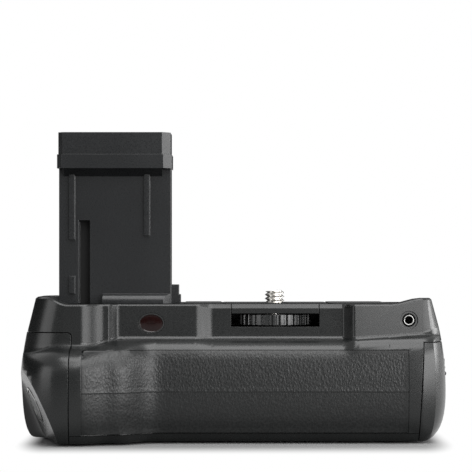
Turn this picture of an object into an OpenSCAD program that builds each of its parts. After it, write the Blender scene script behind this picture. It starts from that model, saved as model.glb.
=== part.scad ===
// Battery grip for a small camera: a moulded body that screws under the camera,
// a tower that fills the camera's battery chamber, and a drawer for two packs.
// Millimetres. +Z is up, the front faces -Y, and the hand end is at -X.
// Origin: the common axis of camera screw and tripod socket, on the plane of the feet.

/* [Body] */
// From the screw axis to the hand end
left_reach = 82.2; // [79:0.1:88]
// Length of the hand end cap, from its seam outwards
left_cap_l = 17.5; // [16:0.1:19]
// Length of the drawer cap, from the top of its seam outwards
drawer_cap_l = 8.2; // [7.8:0.1:10]
// Wall in front of the battery chamber, at the parting line
front_wall = 2.9; // [2.7:0.1:5]
// Wall behind the battery chamber, at the parting line
rear_wall = 2.9; // [2.7:0.1:5]
// How far the hand bulge stands forward of the front face
hand_bulge = 10.5; // [6:0.1:13]
// Height of the parting line, where the body is widest
parting_z = 16.7; // [14:0.1:18]
// Height of the ledge under the upper band
ledge_z = 33; // [32.5:0.1:36]
// Height of the rounded shoulder under the ledge
shoulder_h = 7; // [4:0.1:8]
// Height of the upper band, from the ledge to the deck
band_h = 11.3; // [11:0.1:14]
// Wall of the housing
housing_wall = 1.8; // [1.6:0.1:2]
// Thickness of the deck
deck_t = 2.4; // [2:0.1:2.6]
// Chamfer along the deck's edge in front of the wheel
edge_chamfer = 1.3; // [0.8:0.1:1.6]
// Chamfer along the rest of the deck's edge
lip_chamfer = 0.5; // [0.2:0.1:0.8]
// Rise of the deck's lip at the hand end
left_horn = 2.3; // [0.5:0.1:3]
// Rise of the deck's lip at the drawer end
right_horn = 1.9; // [0.5:0.1:3]

/* [Upper band] */
// How far the thumbwheel stands out of the wall of its bay
wheel_proud = 0.4; // [0.2:0.1:1]
// How far the receiver bay stands forward of the wheel bay
receiver_stand = 1.6; // [0.8:0.1:2.5]
// How far the hand part of the band stands forward of the wheel bay
hand_stand = 8; // [6:0.1:10]
// How far the wall at the remote socket stands forward of the wheel bay
socket_stand = 2.7; // [2:0.1:4]
// Turn of the socket wall towards the drawer end, in degrees
socket_turn = 7.5; // [0:0.5:9]

/* [Seams] */
// From the ledge up to the top edge of the hand end cap
left_cap_rise = 2.5; // [1.5:0.1:4]
// Radius of the hand end cap's top corner
left_cap_corner = 1.2; // [0.5:0.1:3]
// From the ledge down to the top edge of the drawer cap
drawer_cap_drop = 0.6; // [0.4:0.1:2]
// Lean of the drawer cap's seam, in degrees
seam_lean = 3; // [0:0.5:4]
// Height of the split between housing and base plate
base_split_z = 3.4; // [3:0.1:4]
// Gap that shows as a seam line
seam_gap = 0.25; // [0.15:0.05:0.35]

/* [Packs and drawer] */
// Length of a battery pack
pack_l = 49; // [44:0.1:55]
// Width of a battery pack
pack_w = 36.2; // [33:0.1:40]
// Thickness of a battery pack
pack_h = 14.7; // [13.5:0.1:16]
// Side walls of the drawer and of the chamber around it
drawer_wall = 0.8; // [0.6:0.1:0.9]
// Floor of the drawer
drawer_floor = 1.2; // [0.8:0.1:1.6]
// Length of the contact space at the inner end of each pack
contact_space = 2.5; // [2:0.1:3]
// Clearance of everything that slides
slide_gap = 0.25; // [0.2:0.05:0.35]

/* [Camera screw] */
// Radius of the camera screw and of the tripod socket
screw_r = 3.175; // [3:0.005:3.4]
// How far the screw stands out of the deck
screw_out = 4.3; // [4:0.1:5.5]
// Length of the threaded end
thread_l = 4.2; // [2.8:0.1:4.4]
// Radius of the neck below the thread
neck_r = 2; // [1.6:0.1:2.4]
// Radius of the thumbwheel
wheel_r = 11.9; // [11:0.1:12.6]
// Thickness of the thumbwheel
wheel_h = 3.4; // [3:0.1:3.8]
// Number of ribs round the thumbwheel
wheel_ribs = 30; // [24:1:36]
// Room above and below the wheel in its window
wheel_room = 0.45; // [0.3:0.05:0.6]
// Room beside the wheel in its window
wheel_side = 2.3; // [1.8:0.1:3]
// From the deck down to the top of the wheel window
window_drop = 3; // [2.8:0.1:3.4]

/* [Tower] */
// How far the tower's left side lies beyond the hand end's seam
tower_beyond = 5.2; // [3:0.1:7]
// Height of the tower's top above the feet
tower_top = 99.6; // [90:0.1:108]
// Front face of the tower's head, from the screw axis
tower_front = 10.3; // [9.6:0.1:11]
// How far the tower's wall lies behind the front of its head
tower_recess = 4; // [3:0.1:5]
// Height of the tower's head
head_h = 11.6; // [10:0.1:14]
// Height of the sloping underside of the head
head_slope = 2.5; // [1.5:0.1:4]
// Wall of the tower
tower_wall = 1.4; // [1.2:0.1:1.8]

/* [Hidden] */

$fn = 64;
body_black = [0.17, 0.175, 0.175];
inner_black = [0.13, 0.13, 0.13];
rubber_black = [0.12, 0.12, 0.12];
switch_grey = [0.2, 0.2, 0.22];
window_red = [0.3, 0.03, 0.03];
film_amber = [0.75, 0.45, 0.15];
steel = [0.78, 0.77, 0.74];
brass = [0.8, 0.65, 0.3];
board_green = [0.1, 0.3, 0.18];

// Beyond everything, and how far a cut runs past the face that it opens
big = 400;
over = 1;
// Clearances: between fixed pieces, round a pressed-in piece, round a turning one, at a screw's tip
fit_gap = 0.1;
press_gap = 0.05;
run_gap = 0.05;
tip_gap = 0.3;
// Height of the body above the surface it stands on, the camera's pads and the grip skin
base_z = 0.6;
pad_t = 0.3;
skin_t = 0.9;
// Small screws
small_r = 1;
small_head_r = 1.9;
small_head_h = 1.1;

// Across the body: packs, drawer and chamber, then the walls
pack_y = 3;
pack_room = 0.15;
drawer_half = pack_w / 2 + pack_room + drawer_wall;
chamber_half = drawer_half + slide_gap + drawer_wall;
chamber_y = [pack_y - chamber_half, pack_y + chamber_half];
front_reach = front_wall - chamber_y[0];
rear_reach = rear_wall + chamber_y[1];

// Up the body: ledge and deck, caps, then base, chamber, drawer and packs
deck_z = ledge_z + band_h;
deck_under = deck_z - deck_t;
left_cap_z = ledge_z + left_cap_rise;
drawer_cap_z = ledge_z - drawer_cap_drop;
base_room = 2.8;
pack_head = 0.6;
chamber_z = base_split_z + base_room;
drawer_z = chamber_z + drawer_wall + slide_gap;
pack_z = drawer_z + drawer_floor;
drawer_top = pack_z + pack_h * 0.6;
chamber_top = pack_z + pack_h + pack_head + drawer_wall;

// Along the body, from the hand end to the drawer end
bulkhead = 3.73;
end_wall = 1;
seam_step = 0.6;
left_seam = left_reach - left_cap_l;
chamber_end = bulkhead - left_seam;
chamber_in = chamber_end + drawer_wall;
drawer_in = chamber_in + slide_gap;
inner_pack_x = drawer_in + drawer_wall + contact_space + pack_l;
outer_pack_x = inner_pack_x + contact_space + pack_l;
drawer_out = outer_pack_x + end_wall;
seam_foot_x = drawer_out + seam_step;
chamber_out = seam_foot_x - seam_step / 2;
right_seam = seam_foot_x + (drawer_cap_z - base_split_z) * tan(seam_lean);
right_reach = right_seam + drawer_cap_l;
function seam_x(z) = right_seam - (drawer_cap_z - z) * tan(seam_lean);

// Contacts and finger cut-outs of the drawer, and its fastening to the cap
finger_r = 8;
finger_rise = 2;
contact_pitch = 4;
contact_w = 1.5;
contact_slot = 0.1;
contact_rows = [for (i = [-2:1]) pack_y + contact_pitch * (i + 0.5)];
contact_z = pack_z + 2.5;
contact_h = 6;
contact_bend = [0.48, 0.88];
divider_t = 0.8;
pack_edge = 1.5;
pack_recess = 0.8;
floor_edge = 8;
floor_rib = 3.5;
drawer_screw_y = [for (s = [-1, 1]) pack_y + s * (pack_w / 2 - 5.1)];
drawer_screw_z = pack_z + 4;
drawer_bite = 5;

// Latch in the drawer cap
bolt_x = right_seam + 2.5;
bolt_t = 1.5;
bolt_w = 6;
latch_y = 4;
latch_w = 10;
latch_travel = 2.5;
latch_z = [drawer_cap_z - 18, drawer_cap_z - 5];
thumb_piece_w = 7;
thumb_piece_z = [drawer_cap_z - 12.4, drawer_cap_z - 6.2];
thumb_piece_x = right_reach + 0.5;
ridge_r = 0.8;
ridge_pitch = 2;
ridge_fall = 0.35;
ridge_from = 1.3;
keeper_z = drawer_cap_z + latch_travel + 0.6;
retainer_w = 22;
retainer_t = 1.2;
retainer_z = [drawer_cap_z - 19, drawer_cap_z - 4];
retainer_points = [for (s = [-1, 1]) [latch_y + s * 8.5, drawer_cap_z - 11]];
retainer_bite = 3;
retainer_head_r = 1.6;
retainer_head_h = 0.6;
plug_half = pack_w / 2 - 1;
plug_l = 2;
plug_z = [pack_z + 0.5, pack_z + pack_h - 1];

// Base plate, feet and tripod bush
base_lip = 1;
base_open_half = pack_w / 2 - 4.5;
base_points = [for (x = [chamber_end + 10, -2, right_seam - 8],
    y = [chamber_y[0] + 4.1, chamber_y[1] - 3.5]) [x, y]];
base_bite_z = chamber_z - 0.5;
base_head_room = 0.2;
rib_x = [chamber_end + 7, chamber_end + 31, -13, 13, right_seam - 14];
base_rib_w = 1.6;
base_rib_gap = 0.5;
foot_points = [for (x = [chamber_end + 4, -10, right_seam - 11.5], y = [pack_y - 12, pack_y + 13]) [x, y]];
foot_l = 8;
foot_w = 3.4;
foot_inset = 0.5;
bush_r = 5.2;
bush_flange_r = 7;
bush_flange_t = 0.8;
bush_h = chamber_z - 0.4;
tripod_depth = bush_h - 0.6;

// Grip panel, and thumb pad at the back
panel_x = [3.9 - left_seam, right_seam - 4.9];
panel_z = [base_split_z + 0.3, ledge_z - 3.2];
panel_shares = [0, 0.08, 0.18, 0.3, 0.42, 0.54, 0.66, 0.76, 0.84, 0.9, 0.95, 1];
skin_proud = 0.15;
skin_clear = 3;
thumb_x = 18.7 - left_seam;
thumb_z = parting_z + 1.3;
thumb_w = 28;
thumb_h = 20;
thumb_r = 4;
thumb_depth = 1.1;
thumb_grooves = 7;
groove_deep = 0.4;
groove_margin = 3;

// Camera screw, wheel, bracket and cover
screw_room = 0.35;
screw_top = deck_z + screw_out;
screw_tip = 0.6;
thread_edge = 0.4;
bay_reach = wheel_r - wheel_proud;
window_half = wheel_r + wheel_side;
window_h = wheel_h + 2 * wheel_room;
window_z = [deck_z - window_drop - window_h, deck_z - window_drop];
wheel_z = window_z[0] + wheel_room;
// Points of one rib: share of the pitch, and share of the rib's depth below the rim
rib_profile = [[0.05, 1], [0.18, 0], [0.62, 0], [0.75, 1]];
rib_deep = 0.8;
rim_w = 2.6;
dish_deep = 0.8;
hub_r = 5;
hub_h = 0.7;
shank_r = 3;
shank_gap = 0.02;
journal_r = 2.5;
bracket_top = wheel_z - hub_h;
bracket_t = 2.9;
bracket_d = 18;
bracket_y = 0.5;
bracket_r = 2;
bracket_post_x = window_half + 4.4;
bracket_post_w = 4.6;
bracket_post_r = 1.5;
bracket_w = 2 * bracket_post_x + bracket_post_w + 0.2;
bracket_bite = 1.4;
bracket_points = [for (x = [-bracket_post_x, bracket_post_x], y = [-5.5, 6.5]) [x, bracket_y + y]];
clip_t = 0.6;
clip_gap = 0.02;
clip_w = 1.6;
clip_mouth = 1.8;
clip_z = bracket_top - bracket_t - 2 * run_gap - clip_t;
groove_r = journal_r - 0.5;
journal_tip = 0.4;
journal_end = 1;
cover_w = 33.8;
cover_d = 24;
cover_t = 1.2;
cover_r = 1.5;
cover_inset = 0.4;
cover_y = edge_chamfer + cover_inset + cover_d / 2 - bay_reach;
tongue_t = 2.5;
tongue_gap = 0.2;
pad_d = 30;
pad_r = 1.5;
pad_hole = 1.5;
pad_side = 0.2;
pad_gap = 0.6;
pad_y = edge_chamfer + cover_inset + pad_d / 2 - bay_reach;

// Room above the chamber, and the board on its posts
room_y = [housing_wall - bay_reach, chamber_y[1] + fit_gap];
board_x = [chamber_end + 9, right_seam - 15];
board_y = [room_y[0] + 2.7, room_y[1] - 3.2];
board_z = chamber_top + 2.4;
board_t = 1.2;
board_edge = 3;
board_points = [for (x = [board_x[0] + board_edge, board_x[1] - board_edge],
    y = [board_y[0] + board_edge, board_y[1] - board_edge]) [x, y]];
// Larger parts on the board: from its left or right end, from its front, size and height
chip = [22, 14, 8, 7, 1.8];
coil_box = [-22, 4, 10, 8, 2.4];
capacitor = [-6, 16, 2.5, 3.3];
post_r = 2;
post_pin_r = 0.9;
post_pin_out = 1;

// Receiver and remote socket in the front, power switch in the back
receiver_x = 25 - left_seam;
receiver_z = deck_z - 6.1;
receiver_w = 8.3;
receiver_h = 6.5;
receiver_t = 1.2;
receiver_proud = 0.1;
receiver_lip = 0.7;
receiver_reach = bay_reach + receiver_stand;
sensor_size = [5.2, 2.8, 6.4];
sensor_y = room_y[0] + 1.2;
lens_r = 2;
lens_up = 0.6;
lens_seat = 0.5;
leg_pitch = 1.6;
leg_w = 0.5;
socket_x = right_seam - 4.3;
socket_z = deck_z - 5.1;
socket_reach = bay_reach + socket_stand;
socket_back = housing_wall - socket_reach;
socket_recess_r = 2.85;
socket_recess = 0.6;
socket_w = 6;
socket_l = 11;
socket_span = [-2.6, 2.5];
socket_room = 4;
socket_peg = [4, 1.5, 1];
ring_r = 1.75;
ring_proud = 0.35;
jack_r = 1.25;
jack_depth = 11;
room_out = socket_x - socket_room;
switch_x = 24.7 - left_seam;
switch_z = deck_z - 7.8;
switch_size = [16, 5, 6];
switch_recess = 1.4;
switch_slot = 2.2;
knob_w = 7;
knob_h = 4;
knob_t = 1.5;
knob_r = 1.2;
knob_side = 1.2;
knob_edge = 0.7;
knob_travel = 3;
knob_groove_r = 0.3;
knob_groove_pitch = 1.1;
knob_y = rear_reach - switch_recess + slide_gap;
stem_w = 3;
stem_h = 2.4;
stem_root = 0.2;
slot_half = stem_w / 2 + knob_travel / 2 + slide_gap;

// Hand end cap with the button on its facet
facet_at = [5.2 - left_reach, -12, parting_z - 4.8];
facet_tilt = 112.3;
facet_turn = 194.7;
facet_wall = 3;
cap_end_wall = 4;
pocket_y = [-front_reach, chamber_y[1] - 7.1];
pocket_z = [base_split_z + 1.6, ledge_z - 9, ledge_z - 2];
pocket_step = 11;
relief = 1.4;
cap_points = [[chamber_y[1] - 2.6, ledge_z - 3], [room_y[0] + 3.7, ledge_z + 0.2]];
cap_bite = 4;
wire_r = 2.5;
wire_y = 6;
wire_z = chamber_top + 3.5;
contact_pocket = 1.5;
contact_pocket_half = 7;
contact_pocket_z = [chamber_z + 4, chamber_top - 3];
contact_tail = 1.2;
button_r = 5.1;
button_top = 0.15;
button_edge = 0.3;
button_dish = 0.5;
button_lip = 2;
button_flange_r = 5.9;
button_flange_t = 0.8;
button_travel = 1.2;
bezel_r = 6.2;
// The facet's flat ends behind the bezel, then a hollow curve leads out to the end
scoop_flat = bezel_r + 0.4;
scoop_r = 6;
scoop_turn = 60;
bezel_t = 0.6;
bezel_proud = 0.25;
stem_r = 1.5;
stem_end = button_lip + 1.9;
flange_top = button_lip + slide_gap;
flange_end = flange_top + button_flange_t;
flange_room = 6;
press_switch_h = 2.4;
press_switch_w = 3.8;
plunger_r = 1;
plunger_gap = 0.2;
plunger_out = 0.4;
switch_depth = stem_end + button_travel + press_switch_h;
switch_board = [9, 17.6, 1.2];
switch_board_r = 1.5;
switch_post = 7;
switch_post_r = 1.4;
switch_pin_r = 0.8;
spring_r = 3.4;
spring_wire = 0.25;
spring_turns = 4;
spring_seat = 0.1;

// Tower
tower_left = left_seam + tower_beyond;
tower_right = pack_w - tower_left;
tower_back_y = pack_h - tower_front;
tower_wall_y = tower_recess - tower_front;
tower_y = (tower_wall_y + tower_back_y) / 2;
tower_floor = 4;
head_z = tower_top - head_h;
head_cut_l = 1.6;
head_cut_r = 2.7;
head_step = 0.4;
head_step_h = 4.5;
// The foot's rounded ledge starts this far from the left side
ledge_from = 14.2;
foot_step = 3.2;
foot_round = 2.2;
foot_cut = 3;
tab_out = 3;
tab_h = 2.5;
tab_front = 5;
tab_rear = 3;
// Steps beside the foot, to the right: how far out and how high
side_steps = [[3.1, 3], [2.5, 6.2]];
side_step_half = 3;
rib_out = 1.2;
rib_w = 1.8;
// Guide ribs on the front: from the left side, from the head down, and length
upper_ribs = [[3.4, 1.7, 21.3], [27.6, 1.7, 20]];
// The short rib at the foot: from the left side, above the deck, and length
lower_rib = [3.4, 3.2, 5.7];
key_x = 6.4;
key_w = 3.6;
key_deep = 3;
key_wall = 1.2;
key_drop = 16.7;
back_t = 1.2;
tower_screw_x = [chamber_end + 3.5, tower_right - 5];
flex_x = 22.4 - tower_left;
flex_w = 8;
flex_t = 0.3;
flex_room = 1;
flex_slot = 1.5;
blade_w = 1.2;
blade_l = 4;
blade_h = 3;
blade_drop = 0.4;
blade_slot = 2;
blade_pitch = 3.2;
blade_x = flex_x - 5.4;
blade_y = tower_y + 1.5;
blade_foot = tower_top - blade_drop - blade_h;

// Curves of the body, from left to right. Each entry is start, run and share.
bulge_fade = [[2.7 - left_seam, 10, 0.35], [15.2 - left_seam, 11, 0.65]];
hand_fade = [[3.2 - left_seam, 6.5, 0.55], [11.5 - left_seam, 3.2, 0.45]];
receiver_from = -window_half - 11.6;
receiver_run = 6;
socket_from = window_half + 7.1;
socket_run = 4.2;
receiver_fade = [[receiver_from, receiver_run, 1]];
socket_rise = [[socket_from, socket_run, 1]];
hand_ledge = [4.7 - left_seam, 11, 2.3];
end_ledge = [-3.3 - left_seam, 13, 2];
right_ledge = [right_seam - 23, 28, 1.3];
ledge_fillet = 1.1;
// From the left seam to where the deck starts to rise and the end starts to round
horn_run = 2.5;
left_horn_run = 9;
// The lip at the drawer end rises over the outer part of the socket wall
socket_to = socket_from + socket_run;
right_horn_run = 0.465 * (right_seam - socket_to);
right_horn_from = right_seam - right_horn_run;
horn_back_y = 5 - bay_reach;
side_pads = [[tower_right + 4.2, -cover_w / 2 - pad_gap], [cover_w / 2 + pad_gap, right_horn_from - over]];
// Rounded ends: run in from each end, half width of the flat that is left, and squareness
left_round = left_reach - left_seam - horn_run;
left_flat = [6, 13];
left_power = 2;
right_round = 6;
right_flat = [7, 15];
right_power = 1.5;
// Rounding under the body: how far it draws in, and how square the curve is
front_tuck = 5;
rear_tuck = 4;
left_tuck = 4.2;
right_tuck = 8;
tuck_power = 2.5;
// Draft above the parting line, as draw per squared height
front_draft = 0.006;
rear_draft = 0.0012;
left_draft = 0.0056;
right_draft = 0.0055;

function ease(t) = let (c = min(1, max(0, t))) c * c * (3 - 2 * c);
function total(v, i = 0) = i < len(v) ? v[i] + total(v, i + 1) : 0;
function fade(x, steps) = total([for (s = steps) s[2] * ease((x - s[0]) / s[1])]);
function spread(a, b, n) = [for (i = [0:n]) a + (b - a) * i / n];
function tuck(z, amount) =
    let (u = min(1, max(0, (parting_z - z) / (parting_z - base_z))))
    amount * (1 - pow(1 - pow(u, tuck_power), 1 / tuck_power));
function draft(z, amount) = amount * pow(max(0, z - parting_z), 2);

// Heights along the body, and the chamfer of the deck's edge
function deck_at(x) = deck_z + left_horn * ease((-left_seam - horn_run - x) / left_horn_run)
    + right_horn * ease((x - right_horn_from) / right_horn_run);
function ledge_at(x) = ledge_z - hand_ledge[2] * (1 - ease((x - hand_ledge[0]) / hand_ledge[1]))
    - end_ledge[2] * ease((end_ledge[0] - x) / end_ledge[1])
    + right_ledge[2] * ease((x - right_ledge[0]) / right_ledge[1]);
function shoulder_at(x) = ledge_at(x) - shoulder_h;
function chamfer_at(x) = lip_chamfer
    + (edge_chamfer - lip_chamfer) * fade(x, receiver_fade) * (1 - fade(x, socket_rise));

// Distance of the front and rear skin from the screw axis at x and z
function socket_wall(x) = socket_stand + (socket_x - x) * tan(socket_turn);
function upper_reach(x) = bay_reach + receiver_stand * (1 - fade(x, receiver_fade))
    + (hand_stand - receiver_stand) * (1 - fade(x, hand_fade)) + socket_wall(x) * fade(x, socket_rise);
function lower_reach(x, z) = front_reach + hand_bulge * (1 - fade(x, bulge_fade))
    - tuck(z, front_tuck) - draft(z, front_draft);
function shoulder_reach(x, z) =
    let (from = lower_reach(x, shoulder_at(x)), to = upper_reach(x) + ledge_fillet,
         angle = asin(min(1, (z - shoulder_at(x)) / shoulder_h)))
    from + (to - from) * (1 - cos(angle));
function edge_cut(x, z) = max(0, z - deck_at(x) + chamfer_at(x));
function band_reach(x, z) = upper_reach(x) - edge_cut(x, z)
    + ledge_fillet * pow(max(0, 1 - (z - ledge_at(x)) / ledge_fillet), 2);
function front_skin(x, z) = z <= shoulder_at(x) ? lower_reach(x, z)
    : z <= ledge_at(x) ? shoulder_reach(x, z) : band_reach(x, z);
function rear_skin(x, z) = rear_reach - tuck(z, rear_tuck) - draft(z, rear_draft) - edge_cut(x, z);

// Rounding of the plan towards both ends, 1 along the middle and 0 at an end
function end_round(x) =
    let (l = max(0, (left_round - left_reach - x) / left_round),
         r = max(0, (right_round - right_reach + x) / right_round),
         power = x < 0 ? left_power : right_power)
    pow(1 - pow(min(1, max(l, r)), power), 1 / power);
function flat_at(x, side) = x < 0 ? left_flat[side] : right_flat[side];
function front_y(x, z) =
    let (f = flat_at(x, 0)) -f - (front_skin(x, z) - f) * end_round(x);
function rear_y(x, z) =
    let (f = flat_at(x, 1)) f + (rear_skin(x, z) - f) * end_round(x);
// The ends lean in above and below the parting line
function end_x(x, z) =
    let (l = max(0, (-left_seam - x) / (left_reach - left_seam)),
         r = max(0, (x - right_seam) / (right_reach - right_seam)))
    x + l * (tuck(z, left_tuck) + draft(z, left_draft) + edge_cut(x, z))
      - r * (tuck(z, right_tuck) + draft(z, right_draft) + edge_cut(x, z));

// Levels of the body, each a zone and a share of it: 0 under the parting line, 1 up to the
// shoulder, 2 the shoulder's angle, 3 the band, 4 the deck's chamfer, 5 and 6 past a cap's top
function low_levels(from) = [for (u = from) [0, u]];
split_u = (parting_z - base_split_z) / (parting_z - base_z);
gap_u = split_u + fit_gap / (parting_z - base_z);
edge_levels = low_levels([1, 0.99, 0.965, 0.92]);
base_levels = concat(edge_levels, low_levels([gap_u]));
skirt_levels = low_levels(split_u * [1, 0.88, 0.74, 0.58, 0.4, 0.2, 0]);
shoulder_levels = concat([for (t = [0.35, 0.7, 1]) [1, t]],
    [for (a = [15, 30, 44, 56, 67, 76, 84, 90]) [2, a]]);
band_levels = [[3, 0.04], [3, 0.11], [3, 0.2], [3, 1], [4, 1]];
housing_levels = concat(skirt_levels, shoulder_levels, band_levels);
left_cap_levels = concat(edge_levels, skirt_levels, shoulder_levels, [for (t = [0.08, 0.24, 1]) [5, t]]);
drawer_levels = concat(edge_levels, skirt_levels, [for (t = [0.25, 0.5, 0.68, 0.8, 0.88, 0.94, 1]) [6, t]]);
function level_z(x, lv) =
    lv[0] == 0 ? parting_z - (parting_z - base_z) * lv[1]
    : lv[0] == 1 ? parting_z + (shoulder_at(x) - parting_z) * lv[1]
    : lv[0] == 2 ? shoulder_at(x) + shoulder_h * sin(lv[1])
    : lv[0] == 3 ? ledge_at(x) + (deck_at(x) - chamfer_at(x) - ledge_at(x)) * lv[1]
    : lv[0] == 4 ? deck_at(x) - chamfer_at(x) * (1 - lv[1])
    : lv[0] == 5 ? ledge_at(x) + (left_cap_z + over - ledge_at(x)) * lv[1]
    : parting_z + (drawer_cap_z + over - parting_z) * lv[1];

// Stations along the body, closer together where it curves, and held close to where a curve ends
hand_end = 26.7 - left_seam;
hold = 1;
left_stations = [for (a = [0:10:90]) left_round * (1 - cos(a)) - left_reach];
right_stations = [for (a = [75:-15:0]) right_reach - right_round * (1 - cos(a))];
middle_stations = concat(spread(horn_run / 2 - left_seam, hand_end, 20), [receiver_from - hold],
    spread(receiver_from, receiver_from + receiver_run, 6), [receiver_from + receiver_run + hold,
        socket_from - hold], spread(socket_from, socket_to, 5), [socket_to + hold, right_horn_from - hold],
    spread(right_horn_from, right_seam - right_horn_run / 4, 3));
body_stations = concat(left_stations, [-left_seam], middle_stations, [right_seam], right_stations);
base_stations = concat([-left_seam], middle_stations, [right_seam]);
left_cap_stations = concat(left_stations, [over - left_seam]);
drawer_stations = concat([seam_foot_x - 2 * seam_step, right_seam], right_stations);

// A closed body through every station and level
module body_loft(stations, levels) {
    n = len(stations);
    points = [for (lv = levels) each concat(
        [for (x = stations) let (z = level_z(x, lv)) [end_x(x, z), front_y(x, z), z]],
        [for (x = stations) let (z = level_z(x, lv)) [end_x(x, z), rear_y(x, z), z]])];
    top = (len(levels) - 1) * 2 * n;
    quads = concat(
        [for (i = [0:len(levels) - 2], j = [0:n - 2]) let (a = i * 2 * n + j, b = a + 2 * n)
            each [[a, b, b + 1, a + 1], [a + n, a + n + 1, b + n + 1, b + n]]],
        [for (i = [0:len(levels) - 2]) let (a = i * 2 * n, b = a + 2 * n)
            each [[a, a + n, b + n, b], [a + n - 1, b + n - 1, b + 2 * n - 1, a + 2 * n - 1]]],
        [for (j = [0:n - 2]) [j, j + 1, j + n + 1, j + n]],
        [for (j = [0:n - 2]) [top + j, top + j + n, top + j + n + 1, top + j + 1]]);
    polyhedron(points, [for (q = quads) each [[q[0], q[1], q[2]], [q[0], q[2], q[3]]]]);
}

// A sheet that follows the front skin between two depths, for the grip panel and its recess
module front_sheet(x_range, z_range, outer, inner) {
    margin = seam_step;
    xs = [for (x = middle_stations) if (x > x_range[0] + margin && x < x_range[1] - margin) x];
    stations = concat([x_range[0]], xs, [x_range[1]]);
    heights = [for (t = panel_shares) z_range[0] + (z_range[1] - z_range[0]) * t];
    n = len(stations);
    m = len(heights);
    points = [for (d = [outer, inner], z = heights, x = stations) [x, front_y(x, z) + d, z]];
    function at(side, i, j) = side * n * m + i * n + j;
    quads = concat(
        [for (i = [0:m - 2], j = [0:n - 2]) each [
            [at(0, i, j), at(0, i + 1, j), at(0, i + 1, j + 1), at(0, i, j + 1)],
            [at(1, i, j), at(1, i, j + 1), at(1, i + 1, j + 1), at(1, i + 1, j)]]],
        [for (i = [0:m - 2]) each [
            [at(0, i, 0), at(1, i, 0), at(1, i + 1, 0), at(0, i + 1, 0)],
            [at(0, i, n - 1), at(0, i + 1, n - 1), at(1, i + 1, n - 1), at(1, i, n - 1)]]],
        [for (j = [0:n - 2]) each [
            [at(0, 0, j), at(0, 0, j + 1), at(1, 0, j + 1), at(1, 0, j)],
            [at(0, m - 1, j), at(1, m - 1, j), at(1, m - 1, j + 1), at(0, m - 1, j + 1)]]]);
    polyhedron(points, [for (q = quads) each [[q[0], q[1], q[2]], [q[0], q[2], q[3]]]]);
}

// A box between two corners
module block(low, high) {
    translate(low) cube(high - low);
}

// A flat plate in the XY plane with round corners, from z = 0 up
module plate(w, d, t, r) {
    linear_extrude(t) polygon([for (c = [[1, 1], [-1, 1], [-1, -1], [1, -1]], a = [0:15:90])
        let (turn = atan2(c[1], c[0]) - 45)
        [c[0] * (w / 2 - r), c[1] * (d / 2 - r)] + r * [cos(turn + a), sin(turn + a)]]);
}

// An outline of y and z points, drawn out along X from one x to another
module along_x(from, to) {
    translate([from, 0, 0]) rotate([90, 0, 90]) linear_extrude(to - from) children();
}

// An outline of x and z points, drawn out along Y on both sides of y = 0
module along_y(width) {
    rotate([90, 0, 0]) linear_extrude(width, center = true) children();
}

// A cylinder that lies along Y, from y = 0 towards +Y
module rod_y(r, l) {
    rotate([-90, 0, 0]) cylinder(r = r, h = l);
}

// A cylinder that lies along X, from x = 0 towards +X
module rod_x(r, l) {
    rotate([0, 90, 0]) cylinder(r = r, h = l);
}

// A pan-head screw that points up, with the underside of its head at z = 0
module screw_up(r, l, head_r, head_h) {
    rotate_extrude() polygon([[0, -head_h], [head_r * 0.7, -head_h], [head_r, -head_h * 0.6],
        [head_r, 0], [r, 0], [r, l - r * 0.6], [r * 0.4, l], [0, l]]);
}

// The hand end cap's zone, left of its seam and with a round corner, drawn in by a gap
module left_zone(gap) {
    corner = [-left_seam - gap - left_cap_corner, left_cap_z - gap - left_cap_corner];
    along_y(big) polygon(concat([[-big, -over], [-left_seam - gap, -over]],
        [for (a = [0:15:90]) corner + left_cap_corner * [cos(a), sin(a)]], [[-big, left_cap_z - gap]]));
}

// The drawer cap's zone, right of its leaning seam, drawn in by a gap
module drawer_zone(gap) {
    along_y(big) polygon([[right_seam + gap, drawer_cap_z - gap], [seam_x(-over) + gap, -over],
        [big, -over], [big, drawer_cap_z - gap]]);
}

// Places things on the button's facet, with +Z out of it
module on_facet() {
    translate(facet_at) rotate([0, facet_tilt, facet_turn]) children();
}

// Everything outside the facet, sunk by a depth
module outside_facet(depth) {
    on_facet() translate([-big / 2, -big / 2, -depth]) cube(big);
}

// What the facet takes off the hand end: flat round the button, then curving out behind it
module facet_scoop() {
    curve = [for (a = [0:10:scoop_turn]) [-scoop_flat - scoop_r * sin(a), scoop_r * (1 - cos(a))]];
    far = curve[len(curve) - 1] + big * [-cos(scoop_turn), sin(scoop_turn)];
    on_facet() along_x(-big / 2, big / 2) polygon(concat([[big, 0]], curve, [far, [big, far[1]]]));
}

// Places things on the rear face, sunk by a depth, with +Z out of it
module on_rear(x, z, depth) {
    translate([x, rear_reach - depth, z]) rotate([-90, 0, 0]) children();
}

// The receiver window's outline, grown by a margin and drawn inwards from a depth under its wall
module receiver_prism(from, depth, grow) {
    half = [receiver_w / 2 + grow, receiver_h / 2 + grow];
    translate([receiver_x, from - receiver_reach, receiver_z]) rotate([90, 0, 0]) mirror([0, 0, 1])
        linear_extrude(depth) polygon([for (a = [0:10:350]) [half[0] * cos(a), half[1] * sin(a)]]);
}

// Room for the chamber, for the base plate's ribs, for the board above and for the remote socket
module inner_rooms() {
    block([chamber_end - fit_gap, chamber_y[0] - fit_gap, chamber_z - fit_gap],
        [big, chamber_y[1] + fit_gap, chamber_top + fit_gap]);
    block([chamber_end + base_lip, pack_y - base_open_half, -over],
        [seam_foot_x - 2 * base_lip, pack_y + base_open_half, chamber_z + over]);
    block([chamber_end - fit_gap, room_y[0], chamber_top], [room_out, room_y[1], deck_under]);
    block([room_out - over, socket_back, socket_z - socket_room],
        [socket_x + socket_room, socket_back + socket_l + socket_room, deck_under]);
}

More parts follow.
